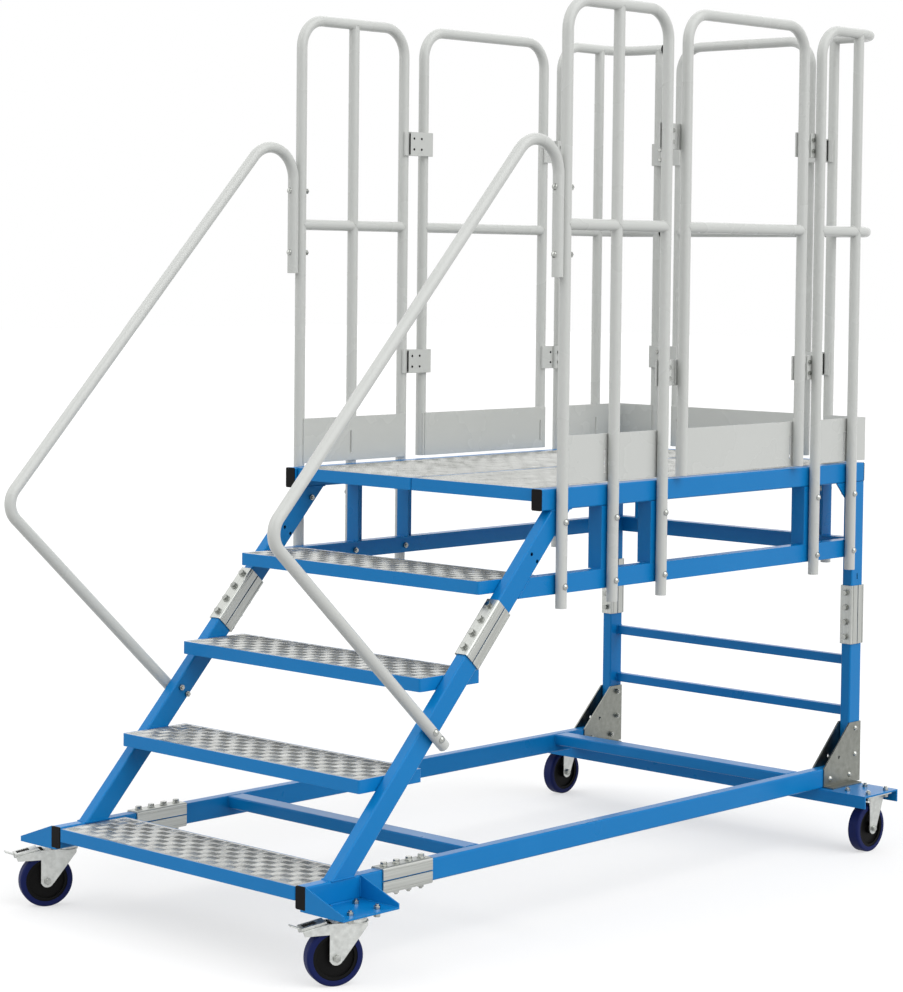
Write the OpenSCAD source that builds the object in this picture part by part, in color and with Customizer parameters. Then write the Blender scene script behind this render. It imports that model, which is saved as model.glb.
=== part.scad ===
// Mobile work platform with a four-tread stair, clamp-joined box-tube frame,
// tube guard rails with three inward gates, and four castors.

/* [Platform] */
// Deck width over the side rails
deck_w = 850; // [800:10:1000]
// Deck length over the side rails
deck_len = 1300; // [1250:10:1600]
// Height of the first tread above the floor
first_rise = 205; // [195:1:220]
// Height from one tread to the next
rise = 200; // [190:1:215]
// Depth from one tread nosing to the next
going = 187; // [180:1:205]
// Distance of the deck nosing behind the front of the side rails
nose_y = 10; // [6:1:20]

/* [Box tube] */
// Narrow side of the box tube
tube_w = 30; // [28:1:32]
// Wide side of the box tube
tube_h = 50; // [48:1:52]
// Outer corner radius of the box tube
tube_r = 4; // [3:0.5:5]
// Wall of the box tube
tube_t = 2; // [1.5:0.5:3]
// Thickness of the plastic end caps
cap_t = 3; // [2:0.5:4]
// Thickness of the angle sections and gusset plates
angle_t = 4; // [3:0.5:5]
// Height of the lower frame angles
angle_h = 45; // [40:1:50]
// Width of the lower frame angles
angle_w = 30; // [26:1:34]
// Top of the lower frame below the deck top
lower_drop = 200; // [190:1:220]
// Width of the upright angles
upright_w = 40; // [36:1:42]
// Flange of the upright angles bolted to the posts
upright_f = 50; // [46:1:54]
// Leg length of the triangular gussets
gusset_len = 75; // [60:1:80]

/* [Stair] */
// Tread depth from front to back
tread_depth = 195; // [190:1:205]
// Height of the tread and deck lips
lip_h = 30; // [28:1:34]
// Thickness of the folded sheet
sheet_t = 3; // [2:0.5:3.5]
// Width of the ledge that carries the checker plates
ledge_w = 14; // [10:1:18]
// Thickness of the checker plates
plate_t = 4; // [3:0.5:5]
// Gap between the two deck trays
tray_gap = 0.6; // [0.4:0.1:2]
// Outer corner radius of the folded treads and trays
fold_r = 5; // [3.5:0.5:6]
// Setback of the stringer face behind the tread nosing
setback = 75; // [70:1:80]
// Distance of the spare handrail holes along the stringer
spare_s = 362; // [350:1:370]

/* [Base] */
// Top of the outrigger channel above the floor
base_z = 158; // [154:1:162]
// Reach of the outrigger channel beyond the base rails
channel_reach = 145; // [137:1:165]
// Width of the outrigger channel
channel_w = 150; // [145:1:160]
// Wall of the outrigger channel and of the castor trays
channel_t = 4; // [3:0.5:5]
// Flange depth of the outrigger channel
channel_d = 32; // [28:1:36]
// Centre of the outrigger channel ahead of the deck rear end
channel_in = 109; // [105:1:115]
// Reach of the front castor trays beyond the base rails
tray_reach = 115; // [110:1:120]
// Length of the front castor trays
tray_len = 166; // [160:1:172]
// Height of the tray flanges at their outer ends
tray_tip = 8; // [4:1:12]
// Front face of the middle cross bar behind the deck front, negative is ahead
mid_bar_y = -215; // [-230:5:-200]
// Front face of the rear cross bar ahead of the deck rear end
rear_bar_in = 288; // [270:2:300]
// Width of the bars between the rear legs
leg_bar_h = 24; // [20:1:28]
// Depth of the bars between the rear legs
leg_bar_w = 20; // [16:1:24]
// Height of the lower leg bar centre
leg_bar_low = 341; // [330:1:355]
// Height of the upper leg bar centre
leg_bar_high = 477; // [465:1:490]
// Height of the rear leg joint
leg_joint_z = 603; // [595:1:615]
// Lower end of the slot in the upper leg above the leg joint
slot_up = 93; // [88:1:98]
// Height of the slot in the upper leg
slot_h = 16; // [12:1:20]
// Width of the slot in the upper leg
slot_w = 4; // [3:0.5:6]

/* [Joint clamps] */
// Length of a joint clamp
clamp_len = 155; // [150:1:160]
// Wall of a joint clamp
clamp_t = 4; // [3:0.5:5]
// Outer corner radius of a joint clamp
clamp_r = 5; // [3:0.5:6]
// Width of the groove along each side of a joint clamp
groove_w = 2; // [1:0.5:3]
// Depth of the groove along each side of a joint clamp
groove_d = 1; // [0.5:0.5:1.5]
// Distance of the groove from the wide tube edge
groove_in = 4; // [2:0.5:8]
// Gap between the clamp halves and between the tube ends
clamp_gap = 3; // [2:0.5:4]
// Spacing of the clamp bolts
clamp_pitch = 39; // [36:1:41]
// Middle of the base joint ahead of the deck front
base_joint = 430; // [420:5:440]

/* [Fasteners] */
// Shank diameter of the bolts
bolt_d = 8; // [8:1:8]
// Clearance hole for the bolts
hole_d = 9; // [8.5:0.5:10]
// Diameter of a domed bolt head
head_d = 16; // [14:1:18]
// Height of a domed bolt head
head_h = 5; // [4:0.5:6]
// Width over the corners of the nuts and hexagon heads
hex_d = 15; // [14:0.5:15]
// Height of the nuts and hexagon heads
hex_h = 7; // [6:0.5:7]
// Washer diameter
washer_d = 18; // [16:1:19]
// Washer thickness
washer_t = 1.6; // [1:0.2:2]

/* [Guard rails] */
// Top of the guard rail above the deck
guard_h = 1135; // [1100:5:1160]
// Centre of the knee rail above the deck
knee_h = 608; // [580:2:630]
// Outer diameter of the rail tube
rail_d = 27; // [26:0.5:28]
// Wall of the rail tube
rail_t = 2; // [1.5:0.5:2.5]
// Bend radius of the rail tube
bend_r = 70; // [60:1:75]
// First post behind the deck front
post_y = 58; // [54:1:62]
// Spacing of the posts of a front panel
post_pitch = 184; // [176:1:190]
// Spacing of the two side posts of a corner panel
corner_pitch = 164; // [156:1:170]
// Last side post ahead of the deck rear end
corner_in = 81; // [78:1:84]
// Rear post of a corner panel in from the deck side
corner_x_in = 129; // [124:1:134]
// Tube end beyond the rear post of a corner panel
tube_over = 13.5; // [13.5:0.5:16]
// Distance between a gate post and the next fixed post
gate_gap = 75; // [74:1:78]
// Bottom of the posts below the deck top
post_drop = 277; // [270:1:285]
// Upper post bolts below the deck top
bolt_high = 77; // [74:1:80]
// Lower post bolts below the deck top
bolt_low = 226; // [222:1:228]
// Height of the toe boards
toe_h = 113; // [100:1:120]
// Gap below the toe boards and gates
toe_gap = 7; // [6:1:10]
// Thickness of the toe boards
toe_t = 3; // [2:0.5:3]
// Vent hole in the knee rails
vent_d = 5; // [4:0.5:6]
// Relief slots above the lower edge of the toe boards
relief_up = 20; // [15:1:25]
// Height of the relief slots
relief_h = 56; // [45:1:60]
// Width of the relief slots
relief_w = 6; // [5:0.5:8]

/* [Gate hardware] */
// Height of the lower gate plates above the deck
plate_low = 257; // [245:1:270]
// Height of the upper gate plates above the deck
plate_high = 825; // [810:1:840]
// Height of the gate plates
plate_h = 62; // [60:1:66]
// Thickness of the gate plates
leaf_t = 4; // [3:0.5:4]
// Outer radius of the hinge knuckles
knuckle_r = 6.5; // [6:0.5:7]
// Radius of the hinge pins
pin_r = 3; // [2.5:0.5:3.5]
// Radial running clearance on pins and axles
fit = 0.05; // [0.03:0.01:0.08]
// Axial gap between moving pieces
play = 0.4; // [0.3:0.1:0.6]
// Diameter of the plate bolts
small_d = 6; // [5:1:6]
// Head diameter of the plate bolts
small_head = 11; // [10:1:12]
// Head height of the plate bolts
small_h = 4; // [3:0.5:4]
// Reach of the welded tabs past the post tube
tab_reach = 15; // [13:1:16]
// Plate bolts past the post tube
tab_bolt = 6; // [5:0.5:7]
// Reach of the catch plates past the post tube
catch_reach = 31; // [29:1:33]
// Overlap of the gate plate behind the catch plate
catch_lap = 40; // [36:1:42]
// Reach of the welded catch tabs past the post tube
catch_tab = 27; // [25:1:28]
// Catch bolts past the post tube
catch_bolt_out = 18.5; // [17:0.5:19]
// Spacing of the plate bolts
small_pitch = 28; // [26:1:32]
// Edge of the plates short of the far side of a post
plate_in = 2; // [1:0.5:4]
// Depth of the welded pads into the plates
pad_lap = 1; // [0.5:0.5:1.5]
// Hinge pin past each end of the plates
pin_over = 1; // [0.5:0.5:2]

/* [Handrails] */
// Distance of the handrail from the stringer centre line
hand_reach = 690; // [670:5:700]
// Upper bend radius of the handrail
hand_r = 77; // [74:1:80]
// Lower bend radius of the handrail
hand_low_r = 48; // [46:1:55]
// Lower end of the handrail at the post above the deck
hand_end = 486; // [470:2:500]
// Upper bolt of the handrail above the deck
hand_bolt_high = 692; // [680:2:700]
// Lower bolt of the handrail above the deck
hand_bolt_low = 538; // [525:1:550]
// Offset of the first stringer bolt from the stringer centre line
hand_bolt_a = -9; // [-10:1:-8]
// Offset of the second stringer bolt from the stringer centre line
hand_bolt_b = 17; // [16:1:18]
// Lap of the straight tube length into the upper handrail bend
seam = 0.4; // [0.3:0.1:0.6]
// Tube end past the stringer centre line
hand_over = 45; // [40:1:50]

/* [Leg brackets] */
// Plate thickness of the leg brackets
bracket_t = 4; // [3:0.5:5]
// Foot length of the leg brackets
bracket_len = 165; // [160:1:170]
// Height of the leg brackets
bracket_h = 159; // [155:1:165]
// Height of the upright front edge of the leg brackets
bracket_edge = 50; // [46:1:54]
// Width of the leg bracket at the top
bracket_top = 50; // [46:1:54]
// Upper leg bolt above the foot of the leg bracket
bracket_bolt_top = 142; // [136:1:146]
// Lower leg bolt and free hole above the foot of the leg bracket
bracket_bolt_mid = 73; // [68:1:78]
// Base rail bolts above the foot of the leg bracket
bracket_bolt_low = 22; // [20:1:26]
// Rear base rail bolt ahead of the deck rear end
bracket_bolt_rear = 50; // [46:1:54]
// Front base rail bolt ahead of the deck rear end
bracket_bolt_front = 137; // [132:1:142]
// Free hole ahead of the deck rear end
bracket_hole = 99; // [94:1:104]
// Foot flange width of the leg brackets
bracket_flange = 32; // [28:1:36]

/* [Castors] */
// Wheel diameter
wheel_d = 125; // [120:1:125]
// Wheel width
wheel_w = 32; // [30:1:34]
// Tyre thickness
tyre_t = 13; // [11:1:15]
// Edge radius of the tyre
tyre_r = 6; // [4:0.5:7]
// Axle radius
axle_r = 5; // [5:0.5:6]
// Hub width
hub_w = 36; // [35:0.5:37]
// Wall of the hub boss round the axle
boss_t = 10; // [8:0.5:12]
// Depth of the hub rim under the tyre
rim_t = 7; // [5:0.5:8]
// Hub rim set in from the tyre's side
rim_in = 2; // [1:0.5:3]
// Wall of the castor forks
fork_t = 3; // [2.5:0.5:3.5]
// Clear width inside the castor forks
fork_in = 39; // [38:0.5:40]
// Gap between the tyre and the fork crown
crown_gap = 8; // [7:0.5:9]
// Radius of the fork foot round the axle
foot_r = 15; // [14:0.5:17]
// Swivel fork top ahead of the swivel centre
cheek_half = 26; // [24:1:28]
// Fixed fork top behind the axle
rear_top = 50; // [46:1:52]
// Upright front edge of the swivel fork below its crown
cheek_edge = 6; // [4:1:10]
// Width over the corners of the axle nuts
axle_hex = 17; // [15:0.5:18]
// Height of the axle nuts
axle_nut = 6; // [5:0.5:7]
// Axle end past the nuts
axle_over = 1; // [0.5:0.5:2]
// Race radius of the swivel castors
race_r = 30; // [28:1:32]
// King pin radius
king_r = 6; // [5:0.5:7]
// Trail of the front castors
trail = 43; // [41:1:45]
// Fork crown behind the swivel centre
crown_back = 62; // [60:1:66]
// Fork edge behind the axle
cheek_back = 15; // [14:0.5:16]
// Reach of the brake arm past the axle
arm_len = 74; // [70:1:78]
// Height of the lower edge of the brake arm
arm_z = 113; // [111:1:115]
// Height of the tip of the brake arm
arm_tip_z = 124; // [122:1:126]
// Setback of the lower edge from the tip of the brake arm
arm_nose = 4; // [2:1:6]
// Crown left whole behind the swivel centre, ahead of the pedal
pedal_gap = 50; // [48:1:52]
// Brake pivot behind the swivel centre, negative is behind
pedal_y = -60; // [-62:1:-58]
// Height of the brake pivot
pedal_z = 130; // [129.5:0.5:131]
// Resting tilt of the brake pedal
pedal_tilt = 12; // [10:1:14]
// Length of the brake pedal without its toe tab
pedal_len = 57; // [54:1:60]
// Length of the pedal pad
pad_len = 55; // [50:1:55]
// Length of the toe tab
toe_len = 28; // [24:1:32]
// Width of the toe tab
toe_w = 16; // [12:1:20]
// Upward turn of the toe tab
toe_turn = 32; // [25:1:36]
// Wall of the pedal boss round its pin
pedal_boss = 2; // [1.5:0.5:2.5]
// Rise of the pedal pad over its arm
pad_rise = 5; // [4:0.5:6]
// Pad edge ahead of the pedal slot
slot_edge = 6; // [4:1:8]
// Sheet thickness of the brake pedal
pedal_t = 7; // [6.5:0.5:7.5]
// Slot length in the brake pedal
pedal_slot = 30; // [26:1:34]
// Slot width in the brake pedal
pedal_slot_w = 16; // [10:1:20]
// Resting turn of the front castors
swivel_rest = -26; // [-40:1:-15]
// Length of the castor top plates
top_len = 105; // [100:1:108]
// Width of the castor top plates
top_w = 85; // [84:1:86]
// Thickness of the castor top plates
top_t = 4; // [3.5:0.5:4]
// Bolt spacing along the castor top plates
top_pitch_y = 80; // [78:1:82]
// Bolt spacing across the castor top plates
top_pitch_x = 64; // [63:0.5:65]
// Distance of the swivel centre from the base rail face
swivel_out = 59; // [57:1:62]
// Distance of the fixed castor centre from the channel end
fixed_in = 46; // [44:1:48]

/* [Hidden] */
$fn = 48;
half_w = deck_w / 2;
deck_h = first_rise + 4 * rise;
pitch = sqrt(rise * rise + going * going);
slope = atan2(rise, going);
rail_x = half_w - tube_w / 2;
inner_x = half_w - tube_w;
base_top = base_z + tube_h;
base_zc = base_z + tube_h / 2;
base_front = nose_y - 4 * going;
deck_zb = deck_h - tube_h;
lower_z = deck_h - lower_drop;
rail_r = rail_d / 2;
bore_d = rail_d - 2 * rail_t;
post_x = half_w + rail_r;
post_ry = deck_len + rail_r;
top_z = deck_h + guard_h - rail_r;
knee_z = deck_h + knee_h;
post_z = deck_h - post_drop;
gate_z = deck_h + toe_gap;
post_2 = post_y + post_pitch;
post_3 = post_y + 2 * post_pitch;
gate_f = post_3 + gate_gap;
corner_b = deck_len - corner_in;
corner_a = corner_b - corner_pitch;
gate_b = corner_a - gate_gap;
corner_x = half_w - corner_x_in;
gate_x = corner_x - gate_gap;
hinge_y = (gate_b + corner_a) / 2;
hinge_x = half_w - knuckle_r;
leg_y = deck_len - tube_h / 2;
channel_y = deck_len - channel_in;
face_y = nose_y - 2 * going + setback;
ref_y = face_y + sin(slope) * tube_h / 2;
ref_z = first_rise + 2 * rise - cos(slope) * tube_h / 2;
hand_y = post_y - rail_d;
hand_cy = hand_y - hand_r;
hand_s = (hand_cy - ref_y + sin(slope) * (hand_reach - hand_r)) / cos(slope);
hand_cz = ref_z + cos(slope) * (hand_reach - hand_r) + sin(slope) * hand_s;
low_bend_y = ref_y - sin(slope) * (hand_reach - hand_low_r) + cos(slope) * (hand_low_r - pitch / 2);
front_y = low_bend_y - hand_low_r - rail_r;
rear_y = post_ry + rail_r + head_h;
shift_y = -(front_y + rear_y) / 2;
tab_in = rail_r / 2;
tab_out = rail_r + tab_reach;
catch_bolt = post_3 + rail_r + catch_bolt_out;
rear_catch_bolt = post_3 + rail_r + tab_bolt;
hinge_bolt = corner_a - rail_r - tab_bolt;
catch_end = post_3 + rail_r + catch_reach;
wheel_r = wheel_d / 2;
plate_zt = base_z - channel_t;
swivel_x = half_w + swivel_out;
swivel_y = base_front + tray_len / 2;
channel_x = half_w + channel_reach;
fixed_x = channel_x - fixed_in;
crown_z = wheel_d + crown_gap;
crown_t = fork_t;
race_z = crown_z + crown_t;
race_mid = race_z + (plate_zt - top_t - race_z) / 2;
pin_out = fork_in / 2 + fork_t;
tread_y = [base_front, base_front + going, base_front + 2 * going, base_front + 3 * going];
tread_z = [first_rise, first_rise + rise, first_rise + 2 * rise, first_rise + 3 * rise];
bracket_at = [[leg_y, base_z + bracket_bolt_top],
              [leg_y, base_z + bracket_bolt_mid],
              [deck_len - bracket_bolt_rear, base_z + bracket_bolt_low],
              [deck_len - bracket_bolt_front, base_z + bracket_bolt_low]];
clamp_at = [-1.5 * clamp_pitch, -0.5 * clamp_pitch, 0.5 * clamp_pitch, 1.5 * clamp_pitch];
blue = [0.17, 0.47, 0.75];
grey = [0.82, 0.83, 0.81];
zinc = [0.72, 0.74, 0.75];
alu = [0.80, 0.81, 0.82];
black = [0.08, 0.08, 0.08];
navy = [0.13, 0.17, 0.36];

module placed() {
    translate([0, shift_y, 0]) children();
}

module both() {
    children();
    mirror([1, 0, 0]) children();
}

module rounded(w, h, r) {
    square([w - 2 * r, h], center = true);
    square([w, h - 2 * r], center = true);
    for (x = [-1, 1], y = [-1, 1])
        translate([x * (w / 2 - r), y * (h / 2 - r)]) circle(r);
}

module box_tube(len) {
    linear_extrude(len)
        difference() {
            rounded(tube_w, tube_h, tube_r);
            rounded(tube_w - 2 * tube_t, tube_h - 2 * tube_t, tube_r - tube_t);
        }
}

module rod(p, q, d) {
    v = q - p;
    len = norm(v);
    translate(p)
        rotate([0, acos(v[2] / len), atan2(v[1], v[0])])
            cylinder(d = d, h = len);
}

// Cross bores of the four clamp bolts, along the wide side of the tube.
module clamp_bores() {
    for (s = clamp_at)
        translate([0, 0, s]) rotate([90, 0, 0])
            cylinder(d = hole_d, h = 2 * tube_h, center = true);
}

// Local frame of a stringer: Z runs up the slope, Y points down and back.
module on_stringer() {
    translate([rail_x, ref_y, ref_z]) rotate([slope - 90, 0, 0]) children();
}

module on_base_joint() {
    translate([rail_x, -base_joint, base_zc]) rotate([-90, 0, 0]) children();
}

module on_leg_joint() {
    translate([rail_x, leg_y, leg_joint_z]) children();
}

module at_joints() {
    both() {
        on_base_joint() children();
        on_stringer() translate([0, 0, pitch / 2]) children();
        on_leg_joint() children();
    }
}

module hand_bores(s) {
    for (y = [hand_bolt_a, hand_bolt_b])
        translate([0, y, s]) rotate([0, 90, 0])
            cylinder(d = hole_d, h = 2 * tube_h, center = true);
}

module x_bore(x, y, z) {
    translate([x, y, z]) rotate([0, 90, 0])
        cylinder(d = hole_d, h = 2 * tube_h, center = true);
}

module y_bore(x, y, z) {
    translate([x, y, z]) rotate([90, 0, 0])
        cylinder(d = hole_d, h = 2 * tube_h, center = true);
}

// Front half of a base rail, open at the joint.
module base_stubs() {
    color(blue) placed() both()
        difference() {
            translate([rail_x, base_front + cap_t, base_zc]) rotate([-90, 0, 0])
                box_tube(-base_joint - clamp_gap / 2 - base_front - cap_t);
            on_base_joint() clamp_bores();
        }
}

module base_rails() {
    color(blue) placed() both()
        difference() {
            translate([rail_x, -base_joint + clamp_gap / 2, base_zc]) rotate([-90, 0, 0])
                box_tube(deck_len - cap_t + base_joint - clamp_gap / 2);
            on_base_joint() clamp_bores();
            bracket_bores(rail_x);
        }
}

// Folded tray: floor plate with a rising triangular flange at both ends.
module castor_trays() {
    color(blue) placed() both()
        difference() {
            union() {
                translate([rail_x, base_front, base_z - channel_t])
                    cube([tray_reach + tube_w / 2, tray_len, channel_t]);
                for (y = [base_front + sheet_t, base_front + tray_len])
                    translate([half_w, y, base_z]) rotate([90, 0, 0])
                        linear_extrude(sheet_t)
                            polygon([[0, 0], [tray_reach, 0], [tray_reach, tray_tip], [0, tube_h]]);
            }
            at_top_bolts(swivel_x, swivel_y, base_z)
                cylinder(d = hole_d, h = 4 * channel_t, center = true);
        }
}

module cross_bars() {
    color(blue) placed()
        for (y = [mid_bar_y, deck_len - rear_bar_in])
            translate([-inner_x, y + tube_h / 2, base_top - tube_w / 2])
                rotate([0, 90, 0]) box_tube(2 * inner_x);
}

module rear_channel() {
    color(blue) placed()
        difference() {
            translate([-channel_x, channel_y - channel_w / 2, base_z - channel_d])
                cube([2 * channel_x, channel_w, channel_d]);
            translate([-2 * channel_x, channel_y - channel_w / 2 + channel_t, 0])
                cube([4 * channel_x, channel_w - 2 * channel_t, plate_zt]);
            both() at_top_bolts(fixed_x, channel_y, base_z)
                cylinder(d = hole_d, h = 4 * channel_t, center = true);
        }
}

module stringers_lower() {
    color(blue) placed() both()
        difference() {
            on_stringer() translate([0, 0, -3 * pitch])
                box_tube(3.5 * pitch - clamp_gap / 2);
            translate([0, -2 * deck_len, base_top - deck_h])
                cube([deck_w, 2 * deck_len, deck_h]);
            on_stringer() translate([0, 0, pitch / 2]) clamp_bores();
            on_stringer() hand_bores(-pitch / 2);
        }
}

module stringers_upper() {
    color(blue) placed() both()
        difference() {
            on_stringer() translate([0, 0, pitch / 2 + clamp_gap / 2])
                box_tube(2 * pitch);
            translate([0, -deck_len, deck_zb]) cube([deck_w, 2 * deck_len, deck_h]);
            on_stringer() translate([0, 0, pitch / 2]) clamp_bores();
            on_stringer() hand_bores(spare_s);
            x_bore(half_w, post_y, deck_h - bolt_high);
        }
}

// Folded sheet frame with a ledge inside for the checker plate.
module sheet_frame(w, d) {
    difference() {
        translate([w / 2, d / 2, -lip_h]) linear_extrude(lip_h) rounded(w, d, fold_r);
        translate([sheet_t, sheet_t, -plate_t])
            cube([w - 2 * sheet_t, d - 2 * sheet_t, lip_h]);
        translate([sheet_t + ledge_w, sheet_t + ledge_w, -2 * lip_h])
            cube([w - 2 * sheet_t - 2 * ledge_w, d - 2 * sheet_t - 2 * ledge_w, 3 * lip_h]);
        translate([sheet_t, sheet_t, -2 * lip_h])
            cube([w - 2 * sheet_t, d - 2 * sheet_t, 2 * lip_h - plate_t - sheet_t]);
    }
}

module sheet_fill(w, d) {
    translate([sheet_t, sheet_t, -plate_t])
        cube([w - 2 * sheet_t, d - 2 * sheet_t, plate_t]);
}

module tread(k) {
    color(blue) placed()
        translate([-inner_x, tread_y[k - 1], tread_z[k - 1]]) sheet_frame(2 * inner_x, tread_depth);
}

module tread_plates() {
    color(alu) placed()
        for (k = [1 : 4])
            translate([-inner_x, tread_y[k - 1], tread_z[k - 1]]) sheet_fill(2 * inner_x, tread_depth);
}

module deck_rails() {
    color(blue) placed() both()
        translate([rail_x, cap_t, deck_h - tube_h / 2]) rotate([-90, 0, 0])
            box_tube(deck_len - 2 * cap_t);
}

module deck_rear_beam() {
    color(blue) placed()
        translate([-inner_x, deck_len - cap_t - tube_w / 2, deck_h - tube_h / 2])
            rotate([90, 0, 90]) box_tube(2 * inner_x);
}

module deck_trays() {
    color(blue) placed() both()
        translate([tray_gap / 2, nose_y, deck_h])
            sheet_frame(inner_x - tray_gap / 2, deck_len - cap_t - tube_w - nose_y);
}

module deck_plates() {
    color(alu) placed() both()
        translate([tray_gap / 2, nose_y, deck_h])
            sheet_fill(inner_x - tray_gap / 2, deck_len - cap_t - tube_w - nose_y);
}

// Side angle of the lower frame, mitred to the back of the stringer.
module lower_rails() {
    back_y = ref_y + sin(slope) * tube_h / 2;
    back_z = ref_z - cos(slope) * tube_h / 2;
    y_top = back_y + (lower_z - back_z) / tan(slope);
    y_bot = y_top - angle_h / tan(slope);
    y_fl = y_top - angle_t / tan(slope);
    len_y = deck_len - tube_h;
    color(blue) placed() both()
        difference() {
            union() {
                translate([half_w - angle_t, 0, 0]) rotate([90, 0, 90])
                    linear_extrude(angle_t)
                        polygon([[y_bot, lower_z - angle_h], [len_y, lower_z - angle_h],
                                 [len_y, lower_z], [y_top, lower_z]]);
                translate([half_w - angle_w, 0, 0]) rotate([90, 0, 90])
                    linear_extrude(angle_w)
                        polygon([[y_fl, lower_z - angle_t], [len_y, lower_z - angle_t],
                                 [len_y, lower_z], [y_top, lower_z]]);
            }
            for (y = [post_y, post_2, post_3, corner_a, corner_b])
                x_bore(half_w, y, deck_h - bolt_low);
        }
}

module lower_rear_rail() {
    color(blue) placed()
        difference() {
            translate([-inner_x, deck_len - angle_w, lower_z - angle_h])
                cube([2 * inner_x, angle_w, angle_h]);
            translate([-2 * inner_x, deck_len - 2 * angle_w - angle_t, lower_z - 2 * angle_h])
                cube([4 * inner_x, 2 * angle_w, 2 * angle_h - angle_t]);
            for (x = [-corner_x, corner_x])
                y_bore(x, deck_len, deck_h - bolt_low);
        }
}

module upright() {
    translate([0, -upright_f / 2, lower_z])
        difference() {
            translate([-upright_w, 0, 0])
                cube([upright_w, upright_f, deck_zb - lower_z]);
            translate([-2 * upright_w, angle_t, -1])
                cube([2 * upright_w - angle_t, 2 * upright_f, deck_zb - lower_z + 2]);
        }
}

module uprights() {
    color(blue) placed() both() {
        difference() {
            for (y = [post_2, post_3, corner_a])
                translate([half_w, y, 0]) upright();
            for (y = [post_2, post_3, corner_a])
                x_bore(half_w, y, deck_h - bolt_high);
        }
        difference() {
            translate([corner_x, deck_len, 0]) rotate([0, 0, 90]) upright();
            y_bore(corner_x, deck_len, deck_h - bolt_high);
        }
    }
}

module gussets() {
    color(blue) placed() both()
        difference() {
            translate([half_w - angle_t, deck_len - tube_h, deck_zb]) rotate([90, 0, 90])
                linear_extrude(angle_t)
                    polygon([[0, 0], [-gusset_len, 0], [0, -gusset_len]]);
            x_bore(half_w, corner_b, deck_h - bolt_high);
        }
}

module legs_upper() {
    color(blue) placed() both()
        difference() {
            translate([rail_x, leg_y, leg_joint_z + clamp_gap / 2])
                box_tube(deck_zb - leg_joint_z - clamp_gap / 2);
            on_leg_joint() clamp_bores();
            translate([half_w - tube_w / 4, leg_y - slot_w / 2, leg_joint_z + slot_up])
                cube([tube_w, slot_w, slot_h]);
        }
}

module legs_lower() {
    color(blue) placed() both()
        difference() {
            translate([rail_x, leg_y, base_top])
                box_tube(leg_joint_z - clamp_gap / 2 - base_top);
            on_leg_joint() clamp_bores();
            bracket_bores(rail_x);
        }
}

module leg_bars() {
    color(blue) placed()
        for (z = [leg_bar_low, leg_bar_high])
            translate([0, deck_len - leg_bar_w / 2 - tube_t, z]) rotate([0, 90, 0])
                linear_extrude(2 * inner_x, center = true)
                    difference() {
                        rounded(leg_bar_h, leg_bar_w, tube_r / 2);
                        rounded(leg_bar_h - 2 * tube_t, leg_bar_w - 2 * tube_t, tube_r / 4);
                    }
}

// Extruded half shell with rounded outer corners and a groove along each side.
module clamp_half() {
    out_w = tube_w + 2 * clamp_t;
    out_h = tube_h + 2 * clamp_t;
    difference() {
        linear_extrude(clamp_len, center = true)
            difference() {
                rounded(out_w, out_h, clamp_r);
                square([tube_w, tube_h], center = true);
                translate([-out_w, clamp_gap / 2 - out_h]) square([2 * out_w, out_h]);
                for (x = [-out_w / 2, out_w / 2])
                    translate([x, tube_h / 2 - groove_in])
                        square([2 * groove_d, groove_w], center = true);
            }
        clamp_bores();
    }
}

module joint_clamps() {
    color(alu) placed()
        at_joints() {
            clamp_half();
            mirror([0, 1, 0]) clamp_half();
        }
}

module hex_nut() {
    difference() {
        cylinder(d = hex_d, h = hex_h, $fn = 6);
        translate([0, 0, -1]) cylinder(d = bolt_d, h = 2 * hex_h);
    }
}

// Hexagon bolt along +Z with its washer under the head, head at the top.
module hex_bolt(grip) {
    translate([0, 0, -grip - 1.5 * hex_h])
        cylinder(d = bolt_d, h = grip + 1.5 * hex_h + washer_t);
    cylinder(d = washer_d, h = washer_t);
    translate([0, 0, washer_t]) cylinder(d = hex_d, h = hex_h, $fn = 6);
}

// Domed bolt along +Z, head at the top.
module dome_bolt(grip) {
    dome_r = (head_d * head_d / 4 + head_h * head_h) / (2 * head_h);
    translate([0, 0, -grip - 1.5 * hex_h]) cylinder(d = bolt_d, h = grip + 1.5 * hex_h + 1);
    intersection() {
        cylinder(d = head_d, h = head_h);
        translate([0, 0, head_h - dome_r]) sphere(dome_r);
    }
}

module clamp_bolts() {
    grip = tube_h + 2 * clamp_t;
    color(zinc) placed()
        at_joints()
            for (s = clamp_at)
                translate([0, -grip / 2, s]) rotate([90, 0, 0]) hex_bolt(grip);
}

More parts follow.
